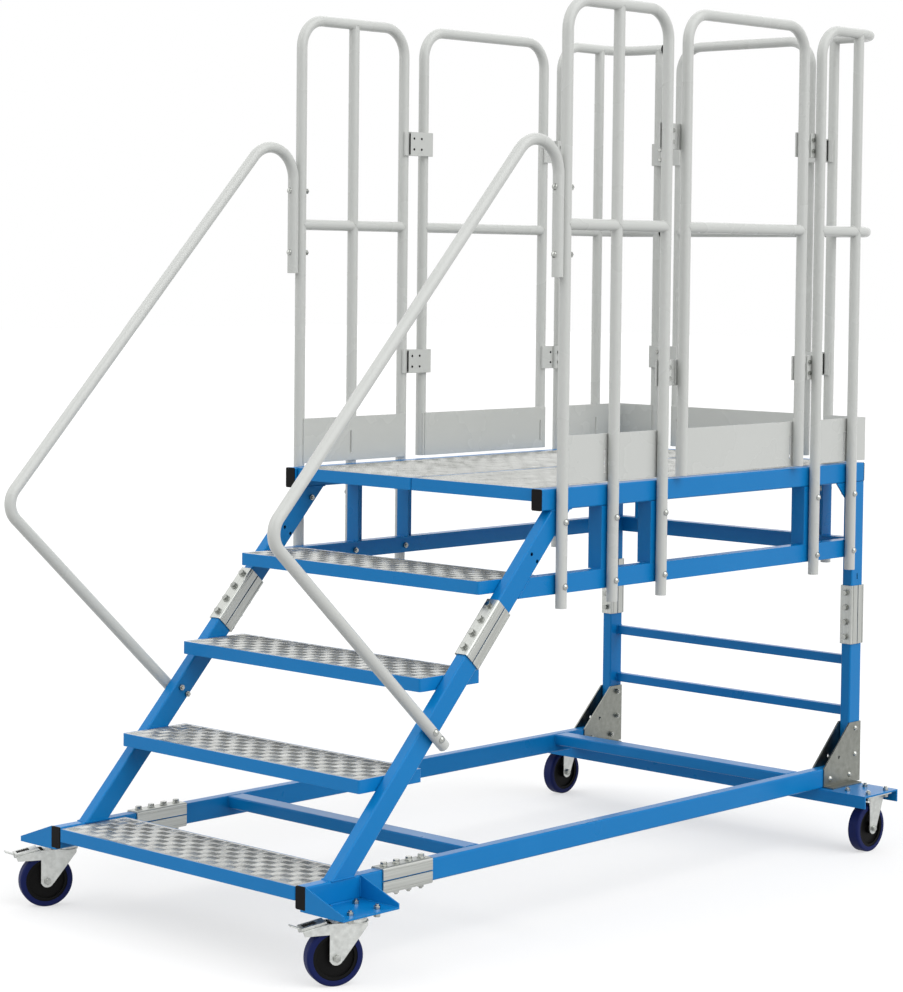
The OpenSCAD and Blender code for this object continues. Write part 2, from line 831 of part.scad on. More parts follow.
// Every domed bolt of the frame, as a place and a grip; nuts = true draws the nuts.
module dome_places(nuts) {
    post_grip = rail_d + angle_t;
    both() {
        for (y = [post_2, post_3, corner_a, corner_b])
            for (z = [deck_h - bolt_high, deck_h - bolt_low])
                translate([post_x + rail_r, y, z]) rotate([0, 90, 0])
                    bolt_or_nut(nuts, post_grip);
        translate([post_x + rail_r, post_y, deck_h - bolt_low]) rotate([0, 90, 0])
            bolt_or_nut(nuts, post_grip);
        translate([post_x + rail_r, post_y, deck_h - bolt_high]) rotate([0, 90, 0])
            bolt_or_nut(nuts, rail_d + tube_w);
        for (z = [deck_h - bolt_high, deck_h - bolt_low])
            translate([corner_x, post_ry + rail_r, z]) rotate([-90, 0, 0])
                bolt_or_nut(nuts, post_grip);
        for (z = [deck_h + hand_bolt_high, deck_h + hand_bolt_low])
            translate([post_x, hand_y - rail_r, z]) rotate([90, 0, 0])
                bolt_or_nut(nuts, 2 * rail_d);
        on_stringer()
            for (y = [hand_bolt_a, hand_bolt_b])
                translate([tube_w / 2 + rail_d, y, -pitch / 2]) rotate([0, 90, 0])
                    bolt_or_nut(nuts, rail_d + tube_w);
        for (p = bracket_at)
            translate([half_w + bracket_t, p[0], p[1]]) rotate([0, 90, 0])
                bolt_or_nut(nuts, tube_w + 2 * bracket_t);
    }
}

module bolt_or_nut(nuts, grip) {
    if (nuts)
        translate([0, 0, -grip - hex_h]) hex_nut();
    else
        dome_bolt(grip);
}

module dome_bolts() {
    color(zinc) placed() dome_places(false);
}

module frame_nuts() {
    grip = tube_h + 2 * clamp_t;
    color(zinc) placed() {
        dome_places(true);
        at_joints()
            for (s = clamp_at)
                translate([0, grip / 2, s]) rotate([-90, 0, 0]) hex_nut();
        both() {
            at_top_bolts(swivel_x, swivel_y, base_z) hex_nut();
            at_top_bolts(fixed_x, channel_y, base_z) hex_nut();
        }
    }
}

module bracket_bores(x) {
    for (p = bracket_at)
        x_bore(x, p[0], p[1]);
}

// Plate with a sloping front edge and a foot flange folded outward.
module leg_bracket() {
    difference() {
        union() {
            rotate([90, 0, 90])
                linear_extrude(bracket_t)
                    polygon([[deck_len - bracket_len, base_z],
                             [deck_len - tube_t, base_z],
                             [deck_len - tube_t, base_z + bracket_h],
                             [deck_len - tube_t - bracket_top, base_z + bracket_h],
                             [deck_len - bracket_len, base_z + bracket_edge]]);
            translate([0, deck_len - bracket_len, base_z])
                cube([bracket_flange, channel_y + channel_w / 2 - deck_len + bracket_len, bracket_t]);
        }
        bracket_bores(0);
        x_bore(0, deck_len - bracket_hole, base_z + bracket_bolt_mid);
    }
}

module leg_brackets() {
    color(zinc) placed() both() {
        translate([half_w, 0, 0]) leg_bracket();
        translate([inner_x, 0, 0]) mirror([1, 0, 0]) leg_bracket();
    }
}

// Plugs of the box tubes and of the two open guard rail tubes.
module end_caps() {
    color(black) placed() both() {
        for (p = [[0, deck_h - tube_h / 2], [deck_len - cap_t, deck_h - tube_h / 2],
                  [base_front, base_zc], [deck_len - cap_t, base_zc]])
            translate([rail_x, p[0], p[1]]) rotate([-90, 0, 0])
                linear_extrude(cap_t) rounded(tube_w, tube_h, tube_r);
        for (z = [top_z, knee_z])
            translate([corner_x - tube_over - cap_t, post_ry, z]) rotate([0, 90, 0])
                cylinder(d = rail_d, h = cap_t);
    }
}

// Bend in the plane of the side rails: angles from +Y towards +Z.
module side_bend(y, z, r, from, to, d) {
    translate([post_x, y, z]) rotate([90, 0, 90]) rotate([0, 0, from])
        rotate_extrude(angle = to - from) translate([r, 0]) circle(d = d);
}

// Inverted U between two posts of a side, down to height z.
module side_hoop(a, b, z, d) {
    rod([post_x, a, z], [post_x, a, top_z - bend_r], d);
    rod([post_x, b, z], [post_x, b, top_z - bend_r], d);
    side_bend(a + bend_r, top_z - bend_r, bend_r, 90, 180, d);
    side_bend(b - bend_r, top_z - bend_r, bend_r, 0, 90, d);
    rod([post_x, a + bend_r, top_z], [post_x, b - bend_r, top_z], d);
}

module post_bores(list) {
    for (y = list)
        for (z = [deck_h - bolt_high, deck_h - bolt_low])
            x_bore(post_x, y, z);
}

module knee_bore(a, b) {
    rod([post_x, a + rail_r, knee_z], [post_x, b - rail_r, knee_z], bore_d);
    translate([post_x, b - rail_d, knee_z - rail_d]) cylinder(d = vent_d, h = rail_d);
}

module plate_tab(y0, y1) {
    for (z = [deck_h + plate_low, deck_h + plate_high])
        translate([half_w, y0, z - plate_h / 2]) cube([leaf_t, y1 - y0, plate_h]);
}

module tab_bores(y) {
    for (z = [deck_h + plate_low, deck_h + plate_high])
        for (s = [-small_pitch / 2, small_pitch / 2])
            translate([half_w, y, z + s]) rotate([0, 90, 0])
                cylinder(d = small_d, h = 6 * leaf_t, center = true);
}

// Front guard panel: hoop, middle post and knee rail, bolted to the deck frame.
module rail_panel() {
    difference() {
        union() {
            side_hoop(post_y, post_3, post_z, rail_d);
            rod([post_x, post_2, post_z], [post_x, post_2, top_z], rail_d);
            rod([post_x, post_y, knee_z], [post_x, post_3, knee_z], rail_d);
            plate_tab(post_3 + tab_in, post_3 + rail_r + catch_tab);
        }
        side_hoop(post_y, post_3, post_z, bore_d);
        rod([post_x, post_2, post_z], [post_x, post_2, top_z], bore_d);
        knee_bore(post_y, post_2);
        knee_bore(post_2, post_3);
        post_bores([post_y, post_2, post_3]);
        tab_bores(catch_bolt);
        for (z = [deck_h + hand_bolt_high, deck_h + hand_bolt_low])
            translate([post_x, post_y, z]) rotate([90, 0, 0])
                cylinder(d = hole_d, h = 2 * rail_d, center = true);
    }
}

// Tube that turns the rear corner in plan at height z and stops past the rear post.
module corner_turn(from_y, z, d) {
    rod([post_x, from_y, z], [post_x, post_ry - bend_r, z], d);
    translate([post_x - bend_r, post_ry - bend_r, z])
        rotate_extrude(angle = 90) translate([bend_r, 0]) circle(d = d);
    rod([post_x - bend_r, post_ry, z], [corner_x - tube_over, post_ry, z], d);
}

module corner_tubes(d) {
    rod([post_x, corner_a, post_z], [post_x, corner_a, top_z - bend_r], d);
    side_bend(corner_a + bend_r, top_z - bend_r, bend_r, 90, 180, d);
    corner_turn(corner_a + bend_r, top_z, d);
    rod([post_x, corner_b, post_z], [post_x, corner_b, top_z], d);
    rod([corner_x, post_ry, post_z], [corner_x, post_ry, top_z], d);
}

// Rear corner panel: side posts, rear post, and rails bent round the corner.
module corner_panel() {
    difference() {
        union() {
            corner_tubes(rail_d);
            corner_turn(corner_a, knee_z, rail_d);
            plate_tab(corner_a - tab_out, corner_a - tab_in);
            rear_frame() plate_tab(corner_a - tab_out, corner_a - tab_in);
        }
        corner_tubes(bore_d);
        corner_turn(corner_a + rail_r, knee_z, bore_d);
        post_bores([corner_a, corner_b]);
        for (z = [deck_h - bolt_high, deck_h - bolt_low])
            y_bore(corner_x, post_ry, z);
        tab_bores(hinge_bolt);
        rear_frame() tab_bores(hinge_bolt);
    }
}

// Carries side-rail hardware to the rear face, post on post.
module rear_frame() {
    translate([corner_x, deck_len, 0]) mirror([1, -1, 0])
        translate([-half_w, -corner_a, 0]) children();
}

// Inner edge strip of the toe boards with relief slots beside the posts.
module toe_strip(a, b, slots) {
    difference() {
        translate([half_w - toe_t, a, deck_h + toe_gap]) cube([toe_t, b - a, toe_h]);
        for (y = slots)
            translate([half_w - 2 * toe_t, y - rail_r - relief_w, deck_h + toe_gap + relief_up])
                cube([3 * toe_t, relief_w, relief_h]);
    }
}

module toe_boards() {
    color(grey) placed() both() {
        toe_strip(post_y, post_3, [post_2]);
        union() {
            toe_strip(corner_a, deck_len, [corner_b]);
            translate([corner_x, deck_len - toe_t, deck_h + toe_gap])
                cube([half_w - corner_x, toe_t, toe_h]);
        }
    }
}

// Handrail tube in the stringer frame; seam laps the last straight into the bend.
module hand_tubes(d) {
    drop = hand_cz - deck_h - hand_end;
    translate([post_x - rail_x, 0, 0]) on_stringer() {
        rod([0, hand_low_r - hand_reach, -pitch / 2], [0, hand_over, -pitch / 2], d);
        translate([0, hand_low_r - hand_reach, hand_low_r - pitch / 2])
            rotate([90, 0, 90]) rotate([0, 0, 180])
                rotate_extrude(angle = 90) translate([hand_low_r, 0]) circle(d = d);
        rod([0, -hand_reach, hand_low_r - pitch / 2], [0, -hand_reach, hand_s], d);
        translate([0, hand_r - hand_reach, hand_s])
            rotate([90, 0, 90]) rotate([0, 0, 180]) mirror([0, 1, 0]) {
                rotate_extrude(angle = 90 + slope) translate([hand_r, 0]) circle(d = d);
                rotate([0, 0, 90 + slope]) translate([hand_r, -seam, 0]) rotate([-90, 0, 0])
                    cylinder(d = d + seam / 20, h = drop + seam);
            }
    }
}

// Handrail bent from one tube, bolted to the front post and to the stringer.
module handrail() {
    difference() {
        hand_tubes(rail_d);
        hand_tubes(bore_d);
        for (z = [deck_h + hand_bolt_high, deck_h + hand_bolt_low])
            translate([post_x, hand_y, z]) rotate([90, 0, 0])
                cylinder(d = hole_d, h = 2 * rail_d, center = true);
        translate([post_x - rail_x, 0, 0]) on_stringer() hand_bores(-pitch / 2);
    }
}

module at_plates() {
    for (z = [deck_h + plate_low, deck_h + plate_high])
        translate([0, 0, z]) children();
}

// Hinge leaf with knuckle pieces; ends = true draws the outer knuckles.
module leaf(to_y, ends) {
    third = plate_h / 3;
    side = to_y > hinge_y ? 1 : -1;
    near = hinge_y + side * (knuckle_r + play);
    difference() {
        union() {
            translate([half_w - leaf_t, min(near, to_y), -plate_h / 2])
                cube([leaf_t, abs(to_y - near), plate_h]);
            intersection() {
                union() {
                    translate([hinge_x, hinge_y, -plate_h / 2]) cylinder(r = knuckle_r, h = plate_h);
                    translate([half_w - leaf_t, min(hinge_y, near), -plate_h / 2])
                        cube([leaf_t, knuckle_r + play, plate_h]);
                }
                if (ends)
                    union() {
                        translate([0, 0, third / 2 + play / 2]) cube([deck_w, deck_len, third]);
                        translate([0, 0, -third * 1.5 - play / 2]) cube([deck_w, deck_len, third]);
                    }
                else
                    translate([0, 0, play / 2 - third / 2]) cube([deck_w, deck_len, third - play]);
            }
        }
        translate([hinge_x, hinge_y, -plate_h])
            cylinder(r = ends ? pin_r : pin_r + fit, h = 2 * plate_h);
    }
}

module fixed_leaf() {
    difference() {
        at_plates() leaf(corner_a + rail_r - plate_in, true);
        tab_bores(hinge_bolt);
    }
}

// Catch plate on a fixed post, bored for its bolts at y.
module catch_plate(y) {
    difference() {
        at_plates()
            translate([half_w - leaf_t, post_3 - rail_r + plate_in, -plate_h / 2])
                cube([leaf_t, catch_end - post_3 + rail_r - plate_in, plate_h]);
        tab_bores(y);
    }
}

// Catch plate moved from the side gate opening to the rear opening.
module rear_catch() {
    rear_frame() translate([0, corner_a + post_3, 0]) mirror([0, 1, 0]) children();
}

module gate_plates() {
    color(zinc) placed() {
        both() {
            fixed_leaf();
            catch_plate(catch_bolt);
        }
        mirror([1, 0, 0]) rear_frame() fixed_leaf();
        rear_catch() catch_plate(rear_catch_bolt);
    }
}

// Plate bolt along +X through a tab and a plate, with a nut behind or tapped flush.
module plate_bolt(nut) {
    tail = nut ? small_h : 0;
    rotate([0, 90, 0]) {
        cylinder(d = small_head, h = small_h);
        translate([0, 0, -2 * leaf_t - tail]) cylinder(d = small_d, h = 2 * leaf_t + tail);
        if (nut)
            translate([0, 0, -2 * leaf_t - tail]) cylinder(d = small_head, h = tail, $fn = 6);
    }
}

module plate_bolt_set(y, nut) {
    at_plates()
        for (s = [-small_pitch / 2, small_pitch / 2])
            translate([half_w + leaf_t, y, s]) plate_bolt(nut);
}

module plate_bolts() {
    color(zinc) placed() {
        both() {
            plate_bolt_set(hinge_bolt, true);
            plate_bolt_set(catch_bolt, false);
        }
        mirror([1, 0, 0]) rear_frame() plate_bolt_set(hinge_bolt, true);
        rear_catch() plate_bolt_set(rear_catch_bolt, false);
    }
}

module hinge_pin() {
    at_plates()
        translate([hinge_x, hinge_y, -plate_h / 2 - pin_over])
            cylinder(r = pin_r, h = plate_h + 2 * pin_over);
}

module hinge_pins() {
    color(zinc) placed() {
        both() hinge_pin();
        mirror([1, 0, 0]) rear_frame() hinge_pin();
    }
}

// Gate on the side posts a and b: hoop, knee rail, toe board, leaves and catch plates.
module side_gate(a, b) {
    lap_y = a - gate_gap + rail_r + catch_reach - catch_lap;
    difference() {
        union() {
            side_hoop(a, b, gate_z, rail_d);
            rod([post_x, a, knee_z], [post_x, b, knee_z], rail_d);
            toe_strip(a, b, [b]);
            at_plates() {
                leaf(b - rail_r + plate_in, false);
                translate([half_w - 2 * leaf_t - play, lap_y, -plate_h / 2])
                    cube([leaf_t, a + rail_r - lap_y, plate_h]);
                translate([half_w - leaf_t - play, a - rail_r, -plate_h / 2])
                    cube([leaf_t + play, rail_d, plate_h]);
                translate([half_w - pad_lap, a - rail_r / 2, -plate_h / 2]) cube([leaf_t, rail_r, plate_h]);
                translate([half_w - pad_lap, b - rail_r / 2, -plate_h / 2]) cube([leaf_t, rail_r, plate_h]);
            }
            translate([half_w - pad_lap, a - rail_r / 2, gate_z]) cube([leaf_t, rail_r, toe_h]);
            translate([half_w - pad_lap, b - rail_r / 2, gate_z]) cube([leaf_t, rail_r, toe_h]);
        }
        side_hoop(a, b, gate_z, bore_d);
        knee_bore(a, b);
    }
}

module left_gate() {
    color(grey) placed() mirror([1, 0, 0]) side_gate(gate_f, gate_b);
}

module right_gate() {
    color(grey) placed() side_gate(gate_f, gate_b);
}

module rear_gate() {
    color(grey) placed() mirror([1, 0, 0]) rear_frame() side_gate(gate_b - 2 * gate_x, gate_b);
}

module at_top_bolts(x, y, z) {
    for (i = [-0.5, 0.5], j = [-0.5, 0.5])
        translate([x + i * top_pitch_x, y + j * top_pitch_y, z]) children();
}

module top_plate() {
    difference() {
        translate([-top_w / 2, -top_len / 2, plate_zt - top_t]) cube([top_w, top_len, top_t]);
        at_top_bolts(0, 0, plate_zt) cylinder(d = hole_d, h = 4 * top_t, center = true);
    }
}

// Top plate of a swivel castor with the upper race and the king pin.
module castor_plates() {
    color(zinc) placed() both() translate([swivel_x, swivel_y, 0]) {
        top_plate();
        translate([0, 0, race_mid + play / 2])
            cylinder(r = race_r, h = plate_zt - top_t - race_mid - play / 2);
        translate([0, 0, crown_z - 2 * crown_t]) cylinder(r = king_r, h = plate_zt - top_t - crown_z);
        translate([0, 0, crown_z - play - 2 * crown_t]) cylinder(r = 1.5 * king_r, h = 2 * crown_t);
    }
}

module castor_bolts() {
    grip = top_t + channel_t;
    color(zinc) placed() both()
        for (p = [[swivel_x, swivel_y], [fixed_x, channel_y]])
            at_top_bolts(p[0], p[1], plate_zt - top_t) rotate([180, 0, 0]) hex_bolt(grip);
}

module fork_cheeks(outline) {
    for (x = [-fork_in / 2 - fork_t, fork_in / 2])
        translate([x, 0, 0]) rotate([90, 0, 90]) linear_extrude(fork_t) polygon(outline);
}

module cheek_foot(y) {
    for (x = [-fork_in / 2 - fork_t, fork_in / 2])
        translate([x, y, wheel_r]) rotate([0, 90, 0]) cylinder(r = foot_r, h = fork_t);
}

module axle_bore(y) {
    translate([0, y, wheel_r]) rotate([0, 90, 0])
        cylinder(r = axle_r, h = 2 * top_w, center = true);
}

module rear_fork() {
    top_plate();
    difference() {
        union() {
            fork_cheeks([[-foot_r, wheel_r], [foot_r, wheel_r],
                         [rear_top, plate_zt - top_t], [-foot_r, plate_zt - top_t]]);
            cheek_foot(0);
            translate([-fork_in / 2, -foot_r, plate_zt - top_t - fork_t])
                cube([fork_in, foot_r + rear_top, fork_t]);
        }
        axle_bore(0);
    }
}

module rear_forks() {
    color(zinc) placed() both() translate([fixed_x, channel_y, 0]) rear_fork();
}

// Axle bolt across the fork with a head and a nut.
module axle() {
    rotate([0, 90, 0]) {
        cylinder(r = axle_r, h = 2 * (pin_out + axle_nut + axle_over), center = true);
        for (s = [-1, 1])
            translate([0, 0, s * (pin_out + axle_nut / 2)])
                cylinder(d = axle_hex, h = axle_nut, center = true, $fn = 6);
    }
}

module rear_axles() {
    color(zinc) placed() both() translate([fixed_x, channel_y, wheel_r]) axle();
}

// Frame of a swivel castor: the trail points to -Y before the resting turn.
module on_swivel(side) {
    translate([side * swivel_x, swivel_y, 0]) rotate([0, 0, swivel_rest]) children();
}

// Pressed fork: crown with the lower race, cheeks running down to the axle.
module swivel_fork() {
    difference() {
        union() {
            translate([-pin_out, -crown_back, crown_z])
                cube([2 * pin_out, crown_back + cheek_half, crown_t]);
            translate([0, 0, crown_z]) cylinder(r = race_r + crown_t, h = crown_t);
            translate([0, 0, race_z]) cylinder(r = race_r, h = race_mid - race_z - play / 2);
            fork_cheeks([[cheek_half, race_z], [cheek_half, crown_z - cheek_edge],
                         [foot_r - trail, wheel_r - cheek_edge],
                         [-trail - cheek_back, wheel_r - cheek_edge],
                         [-trail - cheek_back, arm_z], [arm_nose - trail - arm_len, arm_z],
                         [-trail - arm_len, arm_tip_z], [-crown_back, race_z]]);
            cheek_foot(-trail);
        }
        translate([0, 0, crown_z - wheel_r]) cylinder(r = king_r + fit, h = wheel_d);
        axle_bore(-trail);
        translate([0, pedal_y, pedal_z]) rotate([0, 90, 0])
            cylinder(r = pin_r + fit, h = 2 * top_w, center = true);
        translate([-fork_in / 2, -2 * crown_back, crown_z - crown_t])
            cube([fork_in, 2 * crown_back - pedal_gap, 3 * crown_t]);
    }
}

// Brake pedal on its pivot pin between the fork cheeks: slotted pad with a turned-up toe tab.
module pedal() {
    arm_w = fork_in - fork_t;
    translate([0, pedal_y, pedal_z]) rotate([pedal_tilt, 0, 0]) {
        rotate([0, 90, 0]) cylinder(r = pin_r, h = 2 * (pin_out + pin_over), center = true);
        rotate([0, 90, 0]) cylinder(r = pin_r + pedal_boss, h = arm_w, center = true);
        difference() {
            union() {
                translate([-arm_w / 2, pad_len / 2 - pedal_len, 0])
                    cube([arm_w, pedal_len - pad_len / 2, pedal_t]);
                translate([-arm_w / 2, -pedal_len, pad_rise]) cube([arm_w, pad_len, pedal_t]);
                translate([-toe_w / 2, slot_edge / 2 - pedal_len, pad_rise]) rotate([-toe_turn, 0, 0])
                    translate([0, -toe_len, 0]) cube([toe_w, toe_len, sheet_t]);
            }
            translate([-pedal_slot_w / 2, slot_edge - pedal_len, -pedal_t])
                cube([pedal_slot_w, pedal_slot, 4 * pedal_t]);
        }
    }
}

module tyre() {
    rotate([0, 90, 0]) rotate_extrude() translate([wheel_r - tyre_t, 0]) {
        translate([0, -wheel_w / 2]) square([tyre_t - tyre_r, wheel_w]);
        translate([0, tyre_r - wheel_w / 2]) square([tyre_t, wheel_w - 2 * tyre_r]);
        for (s = [-1, 1])
            translate([tyre_t - tyre_r, s * (wheel_w / 2 - tyre_r)]) circle(tyre_r);
    }
}

module hub() {
    rim_r = wheel_r - tyre_t;
    rotate([0, 90, 0]) rotate_extrude() {
        translate([axle_r + fit, -hub_w / 2]) square([boss_t, hub_w]);
        translate([axle_r + fit, -wheel_w / 4]) square([rim_r - axle_r - fit, wheel_w / 2]);
        translate([rim_r - rim_t, rim_in - wheel_w / 2]) square([rim_t, wheel_w - 2 * rim_in]);
    }
}

module front_wheel_place(side) {
    on_swivel(side) translate([0, -trail, wheel_r]) children();
}

module rear_wheel_place(side) {
    translate([side * fixed_x, channel_y, wheel_r]) children();
}

base_stubs();
castor_trays();
base_rails();
cross_bars();
rear_channel();
stringers_lower();
stringers_upper();
tread(1);  // tread_1
tread(2);  // tread_2
tread(3);  // tread_3
tread(4);  // tread_4
tread_plates();
deck_rails();
deck_rear_beam();
deck_trays();
deck_plates();
lower_rails();
lower_rear_rail();
uprights();
gussets();
legs_upper();
legs_lower();
leg_bars();
joint_clamps();
clamp_bolts();
frame_nuts();
leg_brackets();
dome_bolts();
end_caps();
color(grey) placed() mirror([1, 0, 0]) rail_panel();  // rail_panel_left
color(grey) placed() rail_panel();  // rail_panel_right
color(grey) placed() mirror([1, 0, 0]) corner_panel();  // corner_panel_left
color(grey) placed() corner_panel();  // corner_panel_right
toe_boards();
color(grey) placed() mirror([1, 0, 0]) handrail();  // handrail_left
color(grey) placed() handrail();  // handrail_right
gate_plates();
plate_bolts();
hinge_pins();
left_gate();
right_gate();
rear_gate();
castor_plates();
castor_bolts();
rear_forks();
rear_axles();
color(zinc) placed() on_swivel(-1) swivel_fork();  // fork_left
color(zinc) placed() on_swivel(1) swivel_fork();  // fork_right
color(zinc) placed() front_wheel_place(-1) axle();  // axle_left
color(zinc) placed() front_wheel_place(1) axle();  // axle_right
color(zinc) placed() on_swivel(-1) pedal();  // pedal_left
color(zinc) placed() on_swivel(1) pedal();  // pedal_right
color(navy) placed() front_wheel_place(-1) tyre();  // tyre_front_left
color(navy) placed() front_wheel_place(1) tyre();  // tyre_front_right
color(navy) placed() rear_wheel_place(-1) tyre();  // tyre_rear_left
color(navy) placed() rear_wheel_place(1) tyre();  // tyre_rear_right
color(black) placed() front_wheel_place(-1) hub();  // hub_front_left
color(black) placed() front_wheel_place(1) hub();  // hub_front_right
color(black) placed() rear_wheel_place(-1) hub();  // hub_rear_left
color(black) placed() rear_wheel_place(1) hub();  // hub_rear_right
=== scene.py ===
import math

import bmesh
import bpy
from mathutils import Matrix, Vector


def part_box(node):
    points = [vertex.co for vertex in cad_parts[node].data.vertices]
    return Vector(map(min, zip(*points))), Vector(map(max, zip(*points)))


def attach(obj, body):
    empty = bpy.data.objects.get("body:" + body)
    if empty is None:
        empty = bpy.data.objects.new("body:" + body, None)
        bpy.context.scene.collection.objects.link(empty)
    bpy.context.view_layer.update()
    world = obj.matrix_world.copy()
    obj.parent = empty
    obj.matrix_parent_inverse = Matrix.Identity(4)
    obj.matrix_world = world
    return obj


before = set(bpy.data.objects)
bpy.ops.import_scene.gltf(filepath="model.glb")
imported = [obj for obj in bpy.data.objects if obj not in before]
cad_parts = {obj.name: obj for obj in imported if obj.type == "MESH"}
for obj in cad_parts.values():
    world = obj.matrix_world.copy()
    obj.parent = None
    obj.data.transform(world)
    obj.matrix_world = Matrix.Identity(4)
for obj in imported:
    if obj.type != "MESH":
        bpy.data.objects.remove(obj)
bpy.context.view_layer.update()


# Box-tube frame: 50 x 30 steel tube, angles and folded plate, welded into halves
# and bars. Everything is sprayed with blue polyester powder and baked.
MM = 0.001
COAT_EDGE = 1.6             # radius that the baked coat rounds an edge to
COAT_EDGE_FULL = 0.80       # cosine of the turn at which the lighter edge colour shows most
COAT_EDGE_SHARE = 0.45      # and how much of it shows there: thinner coat, partly painted highlight
EDGE_START = 0.99           # cosine of the turn at which any edge starts to show
BEVEL_SAMPLES = 6
PEEL = 5.0                  # orange peel, drawn coarse enough to show
PEEL_DEEP = 0.25
CLOUD = 160.0               # slow change of tone and gloss along a sprayed tube
CLOUD_LOW, CLOUD_HIGH = 0.35, 0.65
CLOUD_TONE = 0.05
CLOUD_GLOSS = 0.03
NOISE_LOW, NOISE_HIGH = 0.3, 0.7            # the range that a noise pattern fills
COLOUR_A, COLOUR_B, COLOUR_OUT = 6, 7, 2    # places of a Mix node's colour sockets
FRAME_PARTS = ["base_stubs", "base_rails", "cross_bars", "rear_channel", "castor_trays",
               "stringers_lower", "stringers_upper", "tread_1", "tread_2", "tread_3",
               "tread_4", "deck_rails", "deck_rear_beam", "deck_trays", "lower_rails",
               "lower_rear_rail", "uprights", "gussets", "legs_upper", "legs_lower",
               "leg_bars"]


def linear(code):
    """sRGB hex to the linear colour a shader socket takes."""
    parts = [int(code[i:i + 2], 16) / 255 for i in (1, 3, 5)]
    return [c / 12.92 if c <= 0.04045 else ((c + 0.055) / 1.055) ** 2.4 for c in parts] + [1.0]


def add(tree, kind, settings=None, links=None):
    """Adds a shader node, sets its properties and sockets, and links what feeds it."""
    node = tree.nodes.new(kind)
    for name, value in (settings or {}).items():
        if isinstance(name, int) or name in node.inputs:
            node.inputs[name].default_value = value
        else:
            setattr(node, name, value)
    for name, source in (links or {}).items():
        tree.links.new(source, node.inputs[name])
    return node


def dress(names, material):
    """Gives CAD nodes one finish."""
    for name in names:
        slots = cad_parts[name].data.materials
        slots.clear()
        slots.append(material)


def powder_coat(name, colour, thin_and_highlit, roughness, gleam):
    """Baked polyester powder: semi-gloss with a soft orange peel, rounded over every
    edge, where the colour reads a little lighter: partly a thinner coat, partly a painted
    highlight."""
    coat = bpy.data.materials.new(name)
    coat.use_nodes = True
    tree = coat.node_tree
    shader = tree.nodes["Principled BSDF"]
    place = add(tree, "ShaderNodeTexCoord").outputs["Object"]
    peel = add(tree, "ShaderNodeTexNoise", {"Scale": 1 / (PEEL * MM), "Detail": 2.0},
               {"Vector": place})
    cloud = add(tree, "ShaderNodeTexNoise", {"Scale": 1 / (CLOUD * MM), "Detail": 3.0},
                {"Vector": place})
    soft = add(tree, "ShaderNodeBevel", {"Radius": COAT_EDGE * MM, "samples": BEVEL_SAMPLES})
    flat = add(tree, "ShaderNodeNewGeometry").outputs["Normal"]
    turn = add(tree, "ShaderNodeVectorMath", {"operation": "DOT_PRODUCT"},
               {0: soft.outputs["Normal"], 1: flat})
    # Lighter colour along every edge: partly a thinner coat, partly a painted highlight.
    edge = add(tree, "ShaderNodeMapRange",
               {"From Min": EDGE_START, "From Max": COAT_EDGE_FULL, "To Max": COAT_EDGE_SHARE},
               {"Value": turn.outputs["Value"]})
    shade = add(tree, "ShaderNodeMapRange",
                {"From Min": CLOUD_LOW, "From Max": CLOUD_HIGH,
                 "To Min": -CLOUD_TONE, "To Max": CLOUD_TONE},
                {"Value": cloud.outputs["Fac"]})
    mixed = add(tree, "ShaderNodeMath", {"operation": "ADD", "use_clamp": True},
                {0: edge.outputs["Result"], 1: shade.outputs["Result"]})
    paint = add(tree, "ShaderNodeMix",
                {"data_type": "RGBA", COLOUR_A: linear(colour), COLOUR_B: linear(thin_and_highlit)},
                {0: mixed.outputs["Value"]})
    tree.links.new(paint.outputs[COLOUR_OUT], shader.inputs["Base Color"])
    rough = add(tree, "ShaderNodeMapRange",
                {"From Min": NOISE_LOW, "From Max": NOISE_HIGH,
                 "To Min": roughness - CLOUD_GLOSS, "To Max": roughness + CLOUD_GLOSS},
                {"Value": cloud.outputs["Fac"]})
    tree.links.new(rough.outputs["Result"], shader.inputs["Roughness"])
    bump = add(tree, "ShaderNodeBump", {"Strength": 0.03, "Distance": PEEL_DEEP * MM},
               {"Height": peel.outputs["Fac"], "Normal": soft.outputs["Normal"]})
    tree.links.new(bump.outputs["Normal"], shader.inputs["Normal"])
    shader.inputs["IOR"].default_value = 1.5
    shader.inputs["Specular IOR Level"].default_value = gleam
    return coat


blue_coat = powder_coat("blue_powder_coat_on_steel", "#0674B6", thin_and_highlit="#419EDF",
                        roughness=0.30, gleam=0.18)
dress(FRAME_PARTS, blue_coat)


# Weld beads of the frame: fillet runs of steel laid by hand where tubes, angles and
# plates meet, coated over with the frame.
ORIGIN_BACK = 235.048       # deck front edge ahead of the middle of the part
BEAD = 2.2                  # half width of a fillet run
BEAD_TIP = 0.45             # width of a run's ends, as a share of the full width
BEAD_SIDES = 7
RIPPLE = 3.5                # length of one ripple of the bead
RIPPLE_DEEP = 0.07          # as a share of the width
ASKEW = Vector((0.31, 0.52, 0.79))  # m, leads off the line of any straight run
RAIL_IN = 395.0             # inner face of the side rails
RAIL_OUT = 425.0            # outer face of the side rails
BASE_TOP = 208.0            # top of the base rails and cross bars
DECK_LOW = 955.0            # underside of the deck rails
LOWER_TOP = 805.0           # top of the lower side rails
LOWER_FOOT = 760.0          # and their foot
TUBE_HALF = 25.0            # half the depth of the box tube
STRINGER_SLOPE = math.radians(46.924)
STRINGER_Y = -270.74        # a point on the middle line of the stringers
STRINGER_Z = 587.93
STRINGER_HALF = TUBE_HALF / math.sin(STRINGER_SLOPE)
CROSS_BARS = ((-215.0, -165.0), (1012.0, 1062.0))   # front and back faces
BAR_LOW = 178.0
BAR_RUN_UP = 5.0            # a run on a cross bar starts this far up
BAR_RUN_SHORT = 4.0         # and stops this far short of a corner
RUN_SUNK = 1.0              # depth of a run that lies in a corner
UPRIGHTS = (242.0, 426.0, 1055.0)   # middles of the upright angles
UPRIGHT_HALF = 25.0
